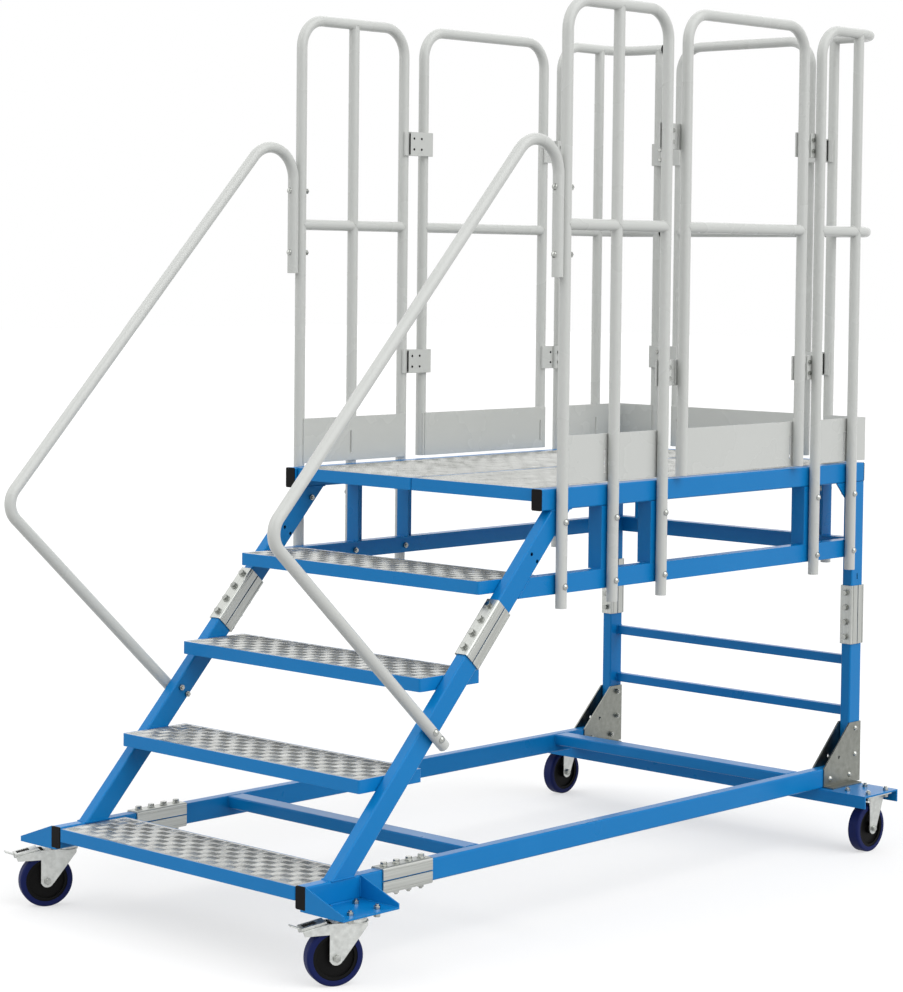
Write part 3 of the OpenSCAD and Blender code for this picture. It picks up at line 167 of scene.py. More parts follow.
UPRIGHT_RUN_SHORT = 2.0
LEG_FRONT = 1250.0          # front face of the rear legs
LEG_BARS = (341.0, 477.0)   # heights of the bars between the legs
LEG_BAR_HALF = 12.0
LEG_BAR_FRONT = 1278.0
LEG_BAR_BACK = 1298.0
TRAY_FOLDS = (-734.6, -575.4)       # front and back folds of the castor trays
TRAY_FLOOR = 158.0
TRAY_RUN_UP = 2.0
TRAY_RUN_SHORT = 5.0


def at(x, y, z):
    """A point given in mm from the deck's front edge, in the part's frame."""
    return Vector((x * MM, (y - ORIGIN_BACK) * MM, z * MM))


def piece(name, verts, faces, material, body, smooth=False):
    """One mesh piece that rides a body and takes its finish from a slot."""
    mesh = bpy.data.meshes.new(name)
    mesh.from_pydata([tuple(v) for v in verts], [], faces)
    shell = bmesh.new()
    shell.from_mesh(mesh)
    bmesh.ops.recalc_face_normals(shell, faces=shell.faces)
    shell.to_mesh(mesh)
    shell.free()
    for face in mesh.polygons:
        face.use_smooth = smooth
    mesh.materials.append(material)
    obj = bpy.data.objects.new(name, mesh)
    bpy.context.scene.collection.objects.link(obj)
    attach(obj, body)


def bead(verts, faces, path, ring=False, half=BEAD):
    """Adds one rippled run of weld along a path of points, open or closed to a ring."""
    points = [path[0]]
    for end in path[1:] + (path[:1] if ring else []):
        start = points[-1]
        steps = max(1, round((end - start).length / (RIPPLE * MM)))
        points += [start.lerp(end, k / steps) for k in range(1, steps + 1)]
    if ring:
        points.pop()
    count = len(points)
    middle = sum(points, Vector()) / count if ring else points[0] + ASKEW
    first = len(verts)
    for k, here in enumerate(points):
        if ring:
            ahead = points[(k + 1) % count] - points[k - 1]
        else:
            ahead = points[min(k + 1, count - 1)] - points[max(k - 1, 0)]
        ahead.normalize()
        out = here - middle
        side = (out - out.dot(ahead) * ahead).normalized()
        up = ahead.cross(side)
        tip = not ring and k in (0, count - 1)
        r = half * MM * (BEAD_TIP if tip else 1 - RIPPLE_DEEP + RIPPLE_DEEP * (-1) ** k)
        for s in range(BEAD_SIDES):
            a = math.tau * s / BEAD_SIDES
            verts.append(here + r * (math.cos(a) * side + math.sin(a) * up))
    for k in range(count if ring else count - 1):
        low = first + k * BEAD_SIDES
        high = first + (k + 1) % count * BEAD_SIDES
        for s in range(BEAD_SIDES):
            t = (s + 1) % BEAD_SIDES
            faces.append((low + s, low + t, high + t, high + s))
    if not ring:
        faces.append(tuple(reversed(range(first, first + BEAD_SIDES))))
        faces.append(tuple(range(first + (count - 1) * BEAD_SIDES, first + count * BEAD_SIDES)))


def stringer_at(z):
    """Where the middle of a stringer stands at a height."""
    return STRINGER_Y + (z - STRINGER_Z) / math.tan(STRINGER_SLOPE)


verts, faces = [], []
for side in (-1, 1):
    inner = side * RAIL_IN
    outer = side * RAIL_OUT
    for z in (BASE_TOP, DECK_LOW):
        front = stringer_at(z) - STRINGER_HALF
        back = stringer_at(z) + STRINGER_HALF
        bead(verts, faces, [at(inner, front, z), at(outer, front, z),
                            at(outer, back, z), at(inner, back, z)], ring=True)
    for z in (BASE_TOP, DECK_LOW):
        bead(verts, faces, [at(inner, LEG_FRONT, z), at(outer, LEG_FRONT, z)])
    for front, back in CROSS_BARS:
        for y in (front, back):
            bead(verts, faces, [at(inner, y, BAR_LOW + BAR_RUN_UP),
                                at(inner, y, BASE_TOP - BAR_RUN_SHORT)])
        bead(verts, faces, [at(inner, front + BAR_RUN_SHORT, BASE_TOP - RUN_SUNK),
                            at(inner, back - BAR_RUN_SHORT, BASE_TOP - RUN_SUNK)])
    bead(verts, faces, [at(side * (RAIL_OUT - RUN_SUNK), stringer_at(z) + STRINGER_HALF, z)
                        for z in (LOWER_FOOT, LOWER_TOP)])
    for y in UPRIGHTS:
        front = y - UPRIGHT_HALF
        for z in (LOWER_TOP, DECK_LOW):
            bead(verts, faces, [at(inner, front, z),
                                at(side * (RAIL_OUT - UPRIGHT_RUN_SHORT), front, z)])
    for fold in TRAY_FOLDS:
        bead(verts, faces, [at(outer, fold, TRAY_FLOOR + TRAY_RUN_UP),
                            at(outer, fold, BASE_TOP - TRAY_RUN_SHORT)])
    bead(verts, faces, [at(outer, fold, TRAY_FLOOR) for fold in TRAY_FOLDS])
    for z in LEG_BARS:
        low = z - LEG_BAR_HALF
        high = z + LEG_BAR_HALF
        bead(verts, faces, [at(inner, LEG_BAR_FRONT, low), at(inner, LEG_BAR_BACK, low),
                            at(inner, LEG_BAR_BACK, high), at(inner, LEG_BAR_FRONT, high)],
             ring=True)
piece("frame_welds", verts, faces, blue_coat, "frame", smooth=True)


# Checker plates: sheets of mill-finish aluminium rolled with five-bar checker, laid
# loose in the tread frames and the deck trays. The raised bars stand in groups of
# five that turn a quarter from one square to the next.
SHEET = 3.0                 # folded sheet round a plate
SQUARE = 29.5               # one group of bars
BARS = 5
BAR_LONG = 27.0
BAR_WIDE = 3.6
BAR_HIGH = 1.1
BAR_STEP = 5.9
BAR_SHOULDER = 0.55         # where a bar starts to narrow, as a share of its half length
BAR_CREST = 0.6             # where its crest ends
EDGE_BARE = 4.0             # plate left bare along its edges
GRAIN = 2.0                 # rolling lines, drawn coarse enough to show
GRAIN_DEEP = 0.1
GRAIN_LONG = 50.0           # a rolling line is this much longer than it is wide
DULL = 45.0                 # dull and bright patches from handling
MILL_METALLIC = 0.75        # below 1, as the dull skin of oxide scatters light


def mill_aluminium(name, dull, bright, smooth, rough):
    """Rolled aluminium: bright, slightly streaked along the rolling, with dull patches
    and fine scratches from the mill. The raised bars take a smoother, lighter copy: partly
    rubbed, partly a painted highlight on the bars."""
    metal = bpy.data.materials.new(name)
    metal.use_nodes = True
    tree = metal.node_tree
    shader = tree.nodes["Principled BSDF"]
    shader.inputs["Metallic"].default_value = MILL_METALLIC
    place = add(tree, "ShaderNodeTexCoord").outputs["Object"]
    along = add(tree, "ShaderNodeMapping", {"Scale": (1.0, 1 / GRAIN_LONG, 1.0)},
                {"Vector": place})
    line = add(tree, "ShaderNodeTexNoise", {"Scale": 1 / (GRAIN * MM), "Detail": 4.0},
               {"Vector": along.outputs["Vector"]})
    patch = add(tree, "ShaderNodeTexNoise", {"Scale": 1 / (DULL * MM), "Detail": 4.0},
                {"Vector": place})
    tone = add(tree, "ShaderNodeValToRGB", {}, {"Fac": patch.outputs["Fac"]})
    tone.color_ramp.elements[0].position = NOISE_LOW
    tone.color_ramp.elements[0].color = linear(dull)
    tone.color_ramp.elements[1].position = NOISE_HIGH
    tone.color_ramp.elements[1].color = linear(bright)
    tree.links.new(tone.outputs["Color"], shader.inputs["Base Color"])
    satin = add(tree, "ShaderNodeMapRange",
                {"From Min": NOISE_LOW, "From Max": NOISE_HIGH,
                 "To Min": smooth, "To Max": rough},
                {"Value": patch.outputs["Fac"]})
    tree.links.new(satin.outputs["Result"], shader.inputs["Roughness"])
    bump = add(tree, "ShaderNodeBump", {"Strength": 0.15, "Distance": GRAIN_DEEP * MM},
               {"Height": line.outputs["Fac"]})
    tree.links.new(bump.outputs["Normal"], shader.inputs["Normal"])
    return metal


def checker_bars(verts, faces, low, high, top):
    """Adds the raised bars of one plate between two corners, in metres."""
    square = SQUARE * MM
    half = BAR_LONG / 2 * MM
    shoulder = half * BAR_SHOULDER
    crest = half * BAR_CREST
    side = BAR_WIDE / 2 * MM
    tall = BAR_HIGH * MM
    outline = ((half, 0, 0), (shoulder, side, 0), (-shoulder, side, 0), (-half, 0, 0),
               (-shoulder, -side, 0), (shoulder, -side, 0), (crest, 0, tall), (-crest, 0, tall))
    wide = high[0] - low[0]
    deep = high[1] - low[1]
    across = int(wide / square)
    along = int(deep / square)
    x0 = low[0] + (wide - across * square) / 2
    y0 = low[1] + (deep - along * square) / 2
    for i in range(across):
        for j in range(along):
            centre = Vector((x0 + (i + 0.5) * square, y0 + (j + 0.5) * square, top))
            quarter = (i + j) % 2
            for k in range(BARS):
                shift = (k - BARS // 2) * BAR_STEP * MM
                first = len(verts)
                for u, v, w in outline:
                    step = Vector((u, v + shift, w)) if quarter else Vector((-v - shift, u, w))
                    verts.append(centre + step)
                for face in ((0, 1, 6), (1, 2, 7, 6), (2, 3, 7), (3, 4, 7), (4, 5, 6, 7),
                             (5, 0, 6), (5, 4, 3, 2, 1, 0)):
                    faces.append(tuple(first + n for n in face))


dress(["tread_plates", "deck_plates"],
      mill_aluminium("mill_rolled_aluminium", "#969794", "#AEAFAC", smooth=0.24, rough=0.36))
# The bars' lighter copy of the metal is partly rubbing, partly a painted highlight.
bar_metal = mill_aluminium("mill_rolled_aluminium_rubbed_and_highlit", "#ACADAA", "#C6C7C4",
                           smooth=0.18, rough=0.28)
inset = (SHEET + EDGE_BARE) * MM
for part in ("tread_1", "tread_2", "tread_3", "tread_4", "deck_trays"):
    low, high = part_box(part)
    verts, faces = [], []
    if part == "deck_trays":
        halves = [(low.x, -SHEET * MM), (SHEET * MM, high.x)]
    else:
        halves = [(low.x, high.x)]
    for left, right in halves:
        checker_bars(verts, faces, (left + inset, low.y + inset),
                     (right - inset, high.y - inset), high.z)
    piece(part.replace("_trays", "") + "_bars", verts, faces, bar_metal, "frame")


# Joint clamps: aluminium extrusions in halves, drawn together round the butted box
# tubes by four bolts, left bare. The die leaves straight lines along each half.
DIE_LINE = 2.0              # spacing of the die lines, drawn coarse enough to show
DIE_LINE_DEEP = 0.15
DIE_LINE_LONG = 100.0       # a die line is this much longer than it is wide
CLAMP_EDGE = 1.0
BASE_JOINT_TOP = 0.30       # m, base joints lie below this
LEG_JOINT_FRONT = 0.80      # m, leg joints lie behind this
VECTOR_A, VECTOR_B, VECTOR_OUT = 4, 5, 1    # places of a Mix node's vector sockets


def extruded_aluminium():
    """Extruded aluminium: satin, with fine straight lines along the length of each half
    and a faint change of tone between them."""
    metal = bpy.data.materials.new("extruded_aluminium")
    metal.use_nodes = True
    tree = metal.node_tree
    shader = tree.nodes["Principled BSDF"]
    shader.inputs["Metallic"].default_value = 1.0
    place = add(tree, "ShaderNodeTexCoord").outputs["Object"]
    parts = add(tree, "ShaderNodeSeparateXYZ", {}, {"Vector": place})
    on_base = add(tree, "ShaderNodeMath", {"operation": "LESS_THAN", 1: BASE_JOINT_TOP},
                  {0: parts.outputs["Z"]})
    on_leg = add(tree, "ShaderNodeMath", {"operation": "GREATER_THAN", 1: LEG_JOINT_FRONT},
                 {0: parts.outputs["Y"]})
    sloped = add(tree, "ShaderNodeMapping",
                 {"vector_type": "TEXTURE", "Scale": (1, 1, DIE_LINE_LONG),
                  "Rotation": (STRINGER_SLOPE - math.pi / 2, 0, 0)},
                 {"Vector": place})
    level = add(tree, "ShaderNodeMapping", {"Scale": (1, 1 / DIE_LINE_LONG, 1)},
                {"Vector": place})
    plumb = add(tree, "ShaderNodeMapping", {"Scale": (1, 1, 1 / DIE_LINE_LONG)},
                {"Vector": place})
    low = add(tree, "ShaderNodeMix", {"data_type": "VECTOR"},
              {0: on_base.outputs["Value"], VECTOR_A: sloped.outputs["Vector"],
               VECTOR_B: level.outputs["Vector"]})
    lie = add(tree, "ShaderNodeMix", {"data_type": "VECTOR"},
              {0: on_leg.outputs["Value"], VECTOR_A: low.outputs[VECTOR_OUT],
               VECTOR_B: plumb.outputs["Vector"]})
    line = add(tree, "ShaderNodeTexNoise", {"Scale": 1 / (DIE_LINE * MM), "Detail": 3.0},
               {"Vector": lie.outputs[VECTOR_OUT]})
    tone = add(tree, "ShaderNodeValToRGB", {}, {"Fac": line.outputs["Fac"]})
    tone.color_ramp.elements[0].position = NOISE_LOW
    tone.color_ramp.elements[0].color = linear("#A2A4A0")
    tone.color_ramp.elements[1].position = NOISE_HIGH
    tone.color_ramp.elements[1].color = linear("#BABCB8")
    tree.links.new(tone.outputs["Color"], shader.inputs["Base Color"])
    rough = add(tree, "ShaderNodeMapRange",
                {"From Min": NOISE_LOW, "From Max": NOISE_HIGH, "To Min": 0.30, "To Max": 0.45},
                {"Value": line.outputs["Fac"]})
    tree.links.new(rough.outputs["Result"], shader.inputs["Roughness"])
    soft = add(tree, "ShaderNodeBevel", {"Radius": CLAMP_EDGE * MM, "samples": BEVEL_SAMPLES})
    bump = add(tree, "ShaderNodeBump", {"Strength": 0.25, "Distance": DIE_LINE_DEEP * MM},
               {"Height": line.outputs["Fac"], "Normal": soft.outputs["Normal"]})
    tree.links.new(bump.outputs["Normal"], shader.inputs["Normal"])
    return metal


dress(["joint_clamps"], extruded_aluminium())


# Leg brackets, bolts, nuts, hinge pins and castor ironwork: steel sheet and bar,
# pressed or turned, then electroplated with zinc.
SPANGLE = 14.0              # size of a patch of one tone in the plating
SPANGLE_DEEP = 0.2
SPANGLE_HIGH = 0.72         # where in the noise the lightest patches start
ZINC_EDGE = 0.8
SHEET_PARTS = ["castor_plates", "rear_forks", "fork_left", "fork_right", "pedal_left",
               "pedal_right"]
TURNED_PARTS = ["clamp_bolts", "frame_nuts", "dome_bolts", "plate_bolts", "hinge_pins",
                "castor_bolts", "rear_axles", "axle_left", "axle_right"]


def zinc_plate(name, dark, light, smooth, rough):
    """Bright zinc: cool silver with cloudy patches, small bright edges and a satin gloss
    on sheet. A darker copy is painted shade on the leg brackets; turned heads are smoother,
    and their darker copy is a painted dark reflection of what is round them."""
    metal = bpy.data.materials.new(name)
    metal.use_nodes = True
    tree = metal.node_tree
    shader = tree.nodes["Principled BSDF"]
    shader.inputs["Metallic"].default_value = 1.0
    place = add(tree, "ShaderNodeTexCoord").outputs["Object"]
    cloud = add(tree, "ShaderNodeTexNoise",
                {"Scale": 1 / (SPANGLE * MM), "Detail": 5.0, "Roughness": 0.6},
                {"Vector": place})
    tone = add(tree, "ShaderNodeValToRGB", {}, {"Fac": cloud.outputs["Fac"]})
    tone.color_ramp.elements[0].position = NOISE_LOW
    tone.color_ramp.elements[0].color = linear(dark)
    tone.color_ramp.elements[1].position = SPANGLE_HIGH
    tone.color_ramp.elements[1].color = linear(light)
    tree.links.new(tone.outputs["Color"], shader.inputs["Base Color"])
    satin = add(tree, "ShaderNodeMapRange",
                {"From Min": NOISE_LOW, "From Max": NOISE_HIGH,
                 "To Min": smooth, "To Max": rough},
                {"Value": cloud.outputs["Fac"]})
    tree.links.new(satin.outputs["Result"], shader.inputs["Roughness"])
    soft = add(tree, "ShaderNodeBevel", {"Radius": ZINC_EDGE * MM, "samples": BEVEL_SAMPLES})
    bump = add(tree, "ShaderNodeBump", {"Strength": 0.06, "Distance": SPANGLE_DEEP * MM},
               {"Height": cloud.outputs["Fac"], "Normal": soft.outputs["Normal"]})
    tree.links.new(bump.outputs["Normal"], shader.inputs["Normal"])
    return metal


dress(SHEET_PARTS, zinc_plate("zinc_plated_steel_sheet", "#B0B2AF", "#CCCECB",
                              smooth=0.28, rough=0.42))
# The leg brackets take a darker copy of the zinc: painted shade between their close-set plates.
dress(["leg_brackets"], zinc_plate("zinc_plated_steel_painted_shade", "#7A7C76", "#8E908A",
                                   smooth=0.28, rough=0.40))
# Turned heads take a darker copy of the zinc: a painted dark reflection, besides their smoother
# gloss.
dress(TURNED_PARTS, zinc_plate("zinc_plated_steel_turned_dark_reflection", "#8C8E8A", "#B4B6B2",
                               smooth=0.12, rough=0.20))


# Guard rails, gates and handrails: 27 mm steel tube bent cold and welded, with toe
# boards of folded sheet and flat hinge and lap plates, sprayed light grey.
RAIL_PARTS = ["rail_panel_left", "rail_panel_right", "corner_panel_left", "corner_panel_right",
              "toe_boards", "handrail_left", "handrail_right", "gate_plates", "left_gate",
              "right_gate", "rear_gate"]
grey_coat = powder_coat("light_grey_powder_coat_on_steel", "#BFC1BE", thin_and_highlit="#D2D3D1",
                        roughness=0.27, gleam=0.45)
dress(RAIL_PARTS, grey_coat)


# Welds of the rails: a thin bead of steel round each knee rail and post where it is
# notched over the next tube, sprayed over with the rail.
RAIL_R = 13.5
RAIL_BEAD = 1.5
SADDLE_POINTS = 28
KNEE = 1613.0               # height of the knee rails' middle
TOP = 2126.5                # height of the top rails' middle
POST_X = 438.5              # plane of the side posts
POST_REAR = 1313.5          # plane of the rear posts
SIDE_POSTS = ((58.0, (1,)), (242.0, (-1, 1)), (426.0, (-1,)),   # place, ways of the knee rail
              (1055.0, (1,)), (1219.0, (-1, 1)))
MIDDLE_POSTS = (242.0, 1219.0)      # posts that end under the top rail
REAR_POST = 296.0           # rear posts, from the middle of the part
GATE_POSTS = (501.0, 980.0)         # catch and hinge uprights of the side gates
REAR_GATE_POST = 221.0      # uprights of the rear gate, from the middle
UP = Vector((0, 0, 1))
BACK = Vector((0, 1, 0))
RIGHT = Vector((1, 0, 0))


def saddle(verts, faces, centre, run, branch):
    """Adds the bead round a tube that is notched over another of the same size."""
    across = branch.cross(run)
    path = []
    for k in range(SADDLE_POINTS):
        a = math.tau * k / SADDLE_POINTS
        notch = math.cos(a) * across + math.sin(a) * run + abs(math.sin(a)) * branch
        path.append(centre + RAIL_R * MM * notch)
    bead(verts, faces, path, ring=True, half=RAIL_BEAD)


verts, faces = [], []
for side in (-1, 1):
    x = side * POST_X
    for y, ways in SIDE_POSTS:
        for way in ways:
            saddle(verts, faces, at(x, y, KNEE), UP, way * BACK)
    for y in MIDDLE_POSTS:
        saddle(verts, faces, at(x, y, TOP), BACK, -UP)
    for way in (-1, 1):
        saddle(verts, faces, at(side * REAR_POST, POST_REAR, KNEE), UP, way * RIGHT)
    saddle(verts, faces, at(side * REAR_POST, POST_REAR, TOP), RIGHT, -UP)
piece("rail_welds", verts, faces, grey_coat, "frame", smooth=True)
catch, hinge = GATE_POSTS
for body, places in (("left_gate", [(-POST_X, catch, BACK), (-POST_X, hinge, -BACK)]),
                     ("right_gate", [(POST_X, catch, BACK), (POST_X, hinge, -BACK)]),
                     ("rear_gate", [(-REAR_GATE_POST, POST_REAR, RIGHT),
                                    (REAR_GATE_POST, POST_REAR, -RIGHT)])):
    verts, faces = [], []
    for x, y, branch in places:
        saddle(verts, faces, at(x, y, KNEE), UP, branch)
    piece(body + "_welds", verts, faces, grey_coat, body, smooth=True)


# End caps: plugs of black polyethylene, injection moulded and pressed into the open
# ends of the box tubes and of the corner panels' rails.
MOULD_GRAIN = 1.5           # spark-eroded grain, drawn coarse enough to show
MOULD_GRAIN_DEEP = 0.1
MOULD_EDGE = 1.0
MOULD_EDGE_FULL = 0.75      # cosine of the turn at which an edge is rubbed most


def moulded(name, colour, worn, gleam):
    """Moulded plastic or rubber: matt, with a fine spark-eroded grain and paler rubbed
    edges."""
    plastic = bpy.data.materials.new(name)
    plastic.use_nodes = True
    tree = plastic.node_tree
    shader = tree.nodes["Principled BSDF"]
    place = add(tree, "ShaderNodeTexCoord").outputs["Object"]
    grain = add(tree, "ShaderNodeTexNoise", {"Scale": 1 / (MOULD_GRAIN * MM), "Detail": 3.0},
                {"Vector": place})
    soft = add(tree, "ShaderNodeBevel", {"Radius": MOULD_EDGE * MM, "samples": BEVEL_SAMPLES})
    flat = add(tree, "ShaderNodeNewGeometry").outputs["Normal"]
    turn = add(tree, "ShaderNodeVectorMath", {"operation": "DOT_PRODUCT"},
               {0: soft.outputs["Normal"], 1: flat})
    edge = add(tree, "ShaderNodeMapRange",
               {"From Min": EDGE_START, "From Max": MOULD_EDGE_FULL},
               {"Value": turn.outputs["Value"]})
    paint = add(tree, "ShaderNodeMix",
                {"data_type": "RGBA", COLOUR_A: linear(colour), COLOUR_B: linear(worn)},
                {0: edge.outputs["Result"]})
    tree.links.new(paint.outputs[COLOUR_OUT], shader.inputs["Base Color"])
    rough = add(tree, "ShaderNodeMapRange",
                {"From Min": NOISE_LOW, "From Max": NOISE_HIGH, "To Min": 0.48, "To Max": 0.62},
                {"Value": grain.outputs["Fac"]})
    tree.links.new(rough.outputs["Result"], shader.inputs["Roughness"])
    bump = add(tree, "ShaderNodeBump", {"Strength": 0.2, "Distance": MOULD_GRAIN_DEEP * MM},
               {"Height": grain.outputs["Fac"], "Normal": soft.outputs["Normal"]})
    tree.links.new(bump.outputs["Normal"], shader.inputs["Normal"])
    shader.inputs["Specular IOR Level"].default_value = gleam
    return plastic


# This black is also painted shade on the gates' screws and lap-plate edges.
black_plastic_and_shade = moulded("black_polyethylene_and_painted_shade", "#0A0A0A", worn="#1E1E1E", gleam=0.1)
dress(["end_caps"], black_plastic_and_shade)


# Dark domes and strips of the gates: black buttons over the screw heads inside the hinge
# leaves and lap plates, whose black is painted shade of the screws' sockets, and a black
# strip on each lap plate's edge, which is painted shadow of the gap there.
# outline of a cap from its crown to its foot: radius, height
CAP = ((0.0, 1.9), (1.2, 1.8), (2.3, 1.4), (3.1, 0.6), (3.3, -0.3), (0.0, -0.3))
CAP_SIDES = 18
PLATES = (1262.0, 1830.0)   # height of the gate plates
SCREW_UP = 14.0             # screws above and below the middle of a plate
LAP_FACE = 416.6            # inner face of the lap plates
LEAF_FACE = 421.0           # inner face of the hinge leaves
LAP_SCREWS = (444.0, 472.0)         # screws along the side
LEAF_SCREW = 1002.0
LAP_MIDDLE = 418.6          # middle of a lap plate's thickness
LAP_EDGE = 430.5            # its free edge
STRIP_R = 2.0
STRIP_UP = 27.0             # half the length of a strip
STRIP_POINTS = 9            # points round a strip's outer edge
REAR_OUT = 875.0            # rear face behind the side face of the same post
REAR_SHORTER = 37.0         # the rear opening is this much narrower than a side opening
REAR_TURN = 759.0           # corner post, seen along the side, less its place across the rear
GATE_MIDDLE = 740.0


def on_gate(body, out, along, z):
    """A point of a gate's hardware, given as on the right-hand side, on any of the gates."""
    if body == "right_gate":
        return at(out, along, z)
    if body == "left_gate":
        return at(-out, along, z)
    near_catch = along < GATE_MIDDLE
    return at(REAR_TURN - along - (REAR_SHORTER if near_catch else 0), out + REAR_OUT, z)


def turned(verts, faces, centre, axis, outline):
    """Adds a piece turned on a lathe: an outline of (radius, height) pairs round an axis,
    closed at both ends on the axis."""
    across = axis.orthogonal().normalized()
    third = axis.cross(across)
    rings = []
    for radius, height in outline:
        spot = centre + axis * height * MM
        if radius == 0:
            rings.append([len(verts)])
            verts.append(spot)
            continue
        rings.append(range(len(verts), len(verts) + CAP_SIDES))
        for k in range(CAP_SIDES):
            a = math.tau * k / CAP_SIDES
            verts.append(spot + radius * MM * (math.cos(a) * across + math.sin(a) * third))
    for low, high in zip(rings, rings[1:]):
        for k in range(CAP_SIDES):
            t = (k + 1) % CAP_SIDES
            if len(low) == 1:
                faces.append((low[0], high[k], high[t]))
            elif len(high) == 1:
                faces.append((low[t], low[k], high[0]))
            else:
                faces.append((low[t], low[k], high[k], high[t]))


screws = [(along, LAP_FACE) for along in LAP_SCREWS] + [(LEAF_SCREW, LEAF_FACE)]
for body in ("left_gate", "right_gate", "rear_gate"):
    verts, faces = [], []
    for plate in PLATES:
        for z in (plate - SCREW_UP, plate + SCREW_UP):
            for along, face in screws:
                spot = on_gate(body, face, along, z)
                inward = on_gate(body, 0, along, z) - spot
                turned(verts, faces, spot, inward.normalized(), CAP)
    # Black domes on the screws: painted shade of their sockets.
    piece(body + "_screw_socket_shade", verts, faces, black_plastic_and_shade, body, smooth=True)
    verts, faces = [], []
    for plate in PLATES:
        first = len(verts)
        for z in (plate - STRIP_UP, plate + STRIP_UP):
            for k in range(STRIP_POINTS):
                a = math.pi * k / (STRIP_POINTS - 1)
                verts.append(on_gate(body, LAP_MIDDLE + STRIP_R * math.cos(a),
                                     LAP_EDGE - STRIP_R * math.sin(a), z))
        second = first + STRIP_POINTS
        for k in range(STRIP_POINTS):
            t = (k + 1) % STRIP_POINTS
            faces.append((first + k, first + t, second + t, second + k))
        faces.append(tuple(reversed(range(first, second))))
        faces.append(tuple(range(second, second + STRIP_POINTS)))
    # Black strip on the lap plate's edge: painted shadow of the gap there.
    piece(body + "_gap_shadow_strips", verts, faces, black_plastic_and_shade, body)


# Brake pedal pads: black plastic mouldings with ribs across them for the shoe's grip,
# snapped into the slot of each brake pedal on the front castors.
SWIVEL_X = 484.0            # swivel centre of a front castor
SWIVEL_Y = -655.0
SWIVEL_REST = math.radians(-26)     # the turn that the castors rest at
PEDAL_BACK = -60.0          # pivot behind the swivel centre
PEDAL_UP = 130.0
PEDAL_TILT = math.radians(12)
PAD_HALF = 7.8
PAD_FRONT = -50.8           # along the pedal, from its pivot
PAD_BACK = -21.2
PAD_FOOT = 1.0
PAD_TOP = 12.2
PAD_CORNERS = 4             # corners of the pad's cross section
RIBS = 7
RIB_HIGH = 1.2
RIB_STEPS = 4               # cross sections for one rib and one groove
RIB_CREST = (1, 2)          # those of them that stand up
steps = RIB_STEPS * RIBS
for side, body in ((-1, "left_pedal"), (1, "right_pedal")):
    stand = (Matrix.Translation(at(side * SWIVEL_X, SWIVEL_Y, 0))
             @ Matrix.Rotation(SWIVEL_REST, 4, "Z")
             @ Matrix.Translation(Vector((0, PEDAL_BACK, PEDAL_UP)) * MM)
             @ Matrix.Rotation(PEDAL_TILT, 4, "X"))
    verts, faces = [], []
    for k in range(steps + 1):
        y = PAD_FRONT + (PAD_BACK - PAD_FRONT) * k / steps
        top = PAD_TOP + (RIB_HIGH if k % RIB_STEPS in RIB_CREST else 0)
        for x, z in ((-PAD_HALF, PAD_FOOT), (PAD_HALF, PAD_FOOT), (PAD_HALF, top),
                     (-PAD_HALF, top)):
            verts.append(stand @ (Vector((x, y, z)) * MM))
    for k in range(steps):
        low = PAD_CORNERS * k
        high = low + PAD_CORNERS
        for n in range(PAD_CORNERS):
            t = (n + 1) % PAD_CORNERS
            faces.append((low + n, low + t, high + t, high + n))
    faces.append(tuple(reversed(range(PAD_CORNERS))))
    faces.append(tuple(PAD_CORNERS * steps + n for n in range(PAD_CORNERS)))
    piece(body + "_pad", verts, faces, black_plastic_and_shade, body)


# Wheels: hubs of black polyethylene, injection moulded, with solid tyres of navy rubber
# moulded round them. They turn on the axles in the castors' forks.
dress(["hub_front_left", "hub_front_right", "hub_rear_left", "hub_rear_right"], black_plastic_and_shade)
navy_rubber = moulded("navy_rubber_moulded", "#0F1A4C", worn="#22305F", gleam=0.14)
dress(["tyre_front_left", "tyre_front_right", "tyre_rear_left", "tyre_rear_right"], navy_rubber)


# Studio: a pale floor that runs out of sight, an even white sky, a large soft lamp at
# each side, which leave the middle of the tubes darker, and a weak one from behind.
FLOOR_HALF = 40.0           # m
FLOOR_LIFT = 0.55           # glow that brings the floor up to white where it is seen
SKY = 0.55                  # strength of the sky as a light
LAMP_WIDE = math.radians(70)
LAMPS = (("right", 2.1, (-0.80, -0.10, -0.59)),     # name, power, way that its light goes
         ("left", 1.3, (0.42, 0.70, -0.58)),
         ("back", 0.4, (0.55, -0.55, -0.63)))


def lit_white(tree):
    """1 where a camera, mirror or glass ray looks, so that the ground shows white."""
    path = add(tree, "ShaderNodeLightPath")
    seen = add(tree, "ShaderNodeMath", {"operation": "MAXIMUM"},
               {0: path.outputs["Is Camera Ray"], 1: path.outputs["Is Glossy Ray"]})
    return add(tree, "ShaderNodeMath", {"operation": "MAXIMUM"},
               {0: seen.outputs["Value"], 1: path.outputs["Is Transmission Ray"]}).outputs["Value"]


ground = bpy.data.materials.new("pale_studio_floor")
ground.use_nodes = True
tree = ground.node_tree
tree.nodes.remove(tree.nodes["Principled BSDF"])
matt = add(tree, "ShaderNodeBsdfDiffuse", {"Color": linear("#B3B3B3")})
lift = add(tree, "ShaderNodeMath", {"operation": "MULTIPLY", 1: FLOOR_LIFT},
           {0: lit_white(tree)})
glow = add(tree, "ShaderNodeEmission", {"Color": linear("#FFFFFF")},
           {"Strength": lift.outputs["Value"]})
both = add(tree, "ShaderNodeAddShader", {}, {0: matt.outputs["BSDF"], 1: glow.outputs["Emission"]})
tree.links.new(both.outputs["Shader"], tree.nodes["Material Output"].inputs["Surface"])
mesh = bpy.data.meshes.new("studio_floor")
mesh.from_pydata([(-FLOOR_HALF, -FLOOR_HALF, 0), (FLOOR_HALF, -FLOOR_HALF, 0),
                  (FLOOR_HALF, FLOOR_HALF, 0), (-FLOOR_HALF, FLOOR_HALF, 0)], [], [(0, 1, 2, 3)])
mesh.materials.append(ground)
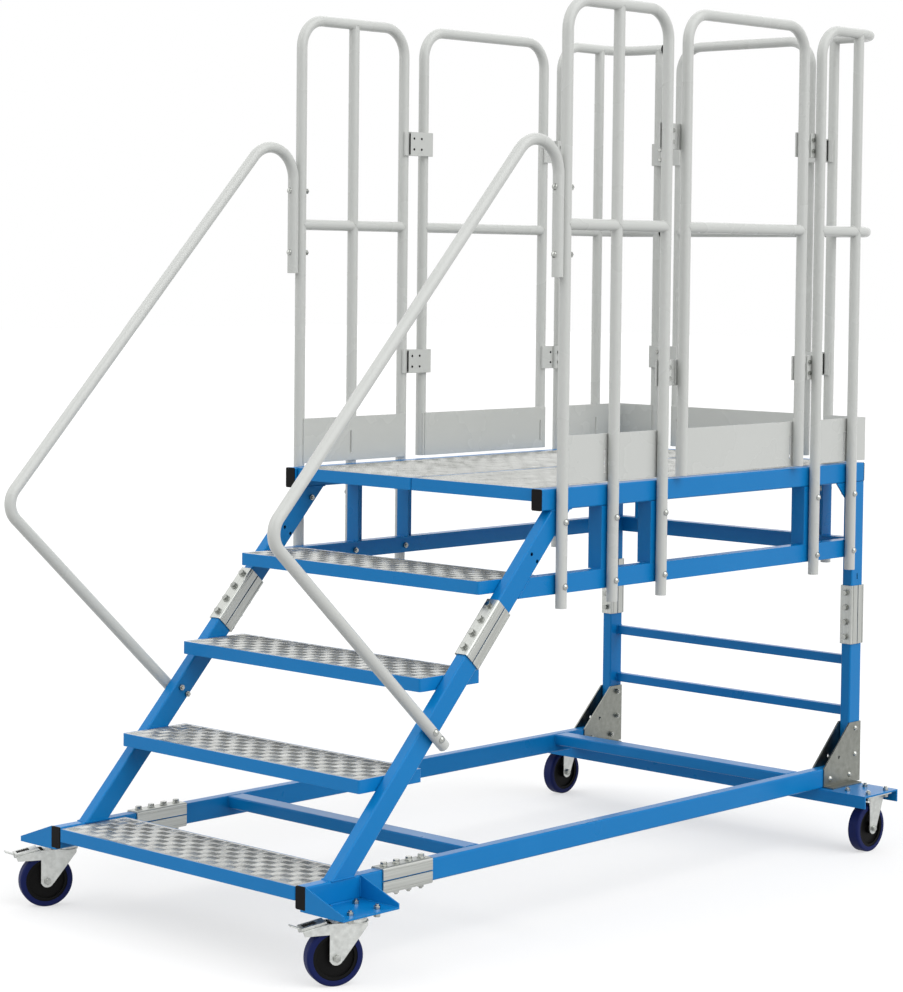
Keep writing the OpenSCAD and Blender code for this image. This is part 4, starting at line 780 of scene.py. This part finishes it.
floor = bpy.data.objects.new("studio_floor", mesh)
bpy.context.scene.collection.objects.link(floor)

world = bpy.context.scene.world or bpy.data.worlds.new("studio_sky")
bpy.context.scene.world = world
world.use_nodes = True
tree = world.node_tree
sky = tree.nodes["Background"]
sky.inputs["Color"].default_value = linear("#FFFFFF")
level = add(tree, "ShaderNodeMapRange", {"To Min": SKY, "To Max": 1.0}, {"Value": lit_white(tree)})
tree.links.new(level.outputs["Result"], sky.inputs["Strength"])

for name, power, toward in LAMPS:
    lamp = bpy.data.lights.new(name, "SUN")
    lamp.energy = power
    lamp.angle = LAMP_WIDE
    sun = bpy.data.objects.new(name, lamp)
    sun.rotation_euler = Vector(toward).to_track_quat("-Z", "Y").to_euler()
    bpy.context.scene.collection.objects.link(sun)


# Camera: it stands where the photograph was taken from, with the same lens. Its place,
# turn and shift were worked out from straight edges of the frame.
FOCAL = 2641.814            # px
SENSOR = 36.0
IMAGE_H = 992               # px, the picture's longer side
CENTRE_Y = 397.0            # px, the lens axis stands above the middle of the picture
CAMERA_AT = (4387.592, -4544.877, 1523.976)
YAW = 0.75153               # radians, as are pitch and roll
PITCH = -0.051183
ROLL = 0.010579
lens = bpy.data.cameras.new("camera")
lens.sensor_width = SENSOR
lens.lens = FOCAL * SENSOR / IMAGE_H
lens.shift_y = (CENTRE_Y - IMAGE_H / 2) / IMAGE_H
camera = bpy.data.objects.new("camera", lens)
look = Vector((-math.sin(YAW) * math.cos(PITCH), math.cos(YAW) * math.cos(PITCH), math.sin(PITCH)))
right = Vector((math.cos(YAW), math.sin(YAW), 0))
above = right.cross(look)
turned_right = math.cos(ROLL) * right + math.sin(ROLL) * above
turned_up = -math.sin(ROLL) * right + math.cos(ROLL) * above
axes = Matrix((turned_right, turned_up, -look)).transposed()
camera.matrix_world = Matrix.Translation(at(*CAMERA_AT)) @ axes.to_4x4()
bpy.context.scene.collection.objects.link(camera)
bpy.context.scene.camera = camera
bpy.context.scene.view_settings.view_transform = "Standard"
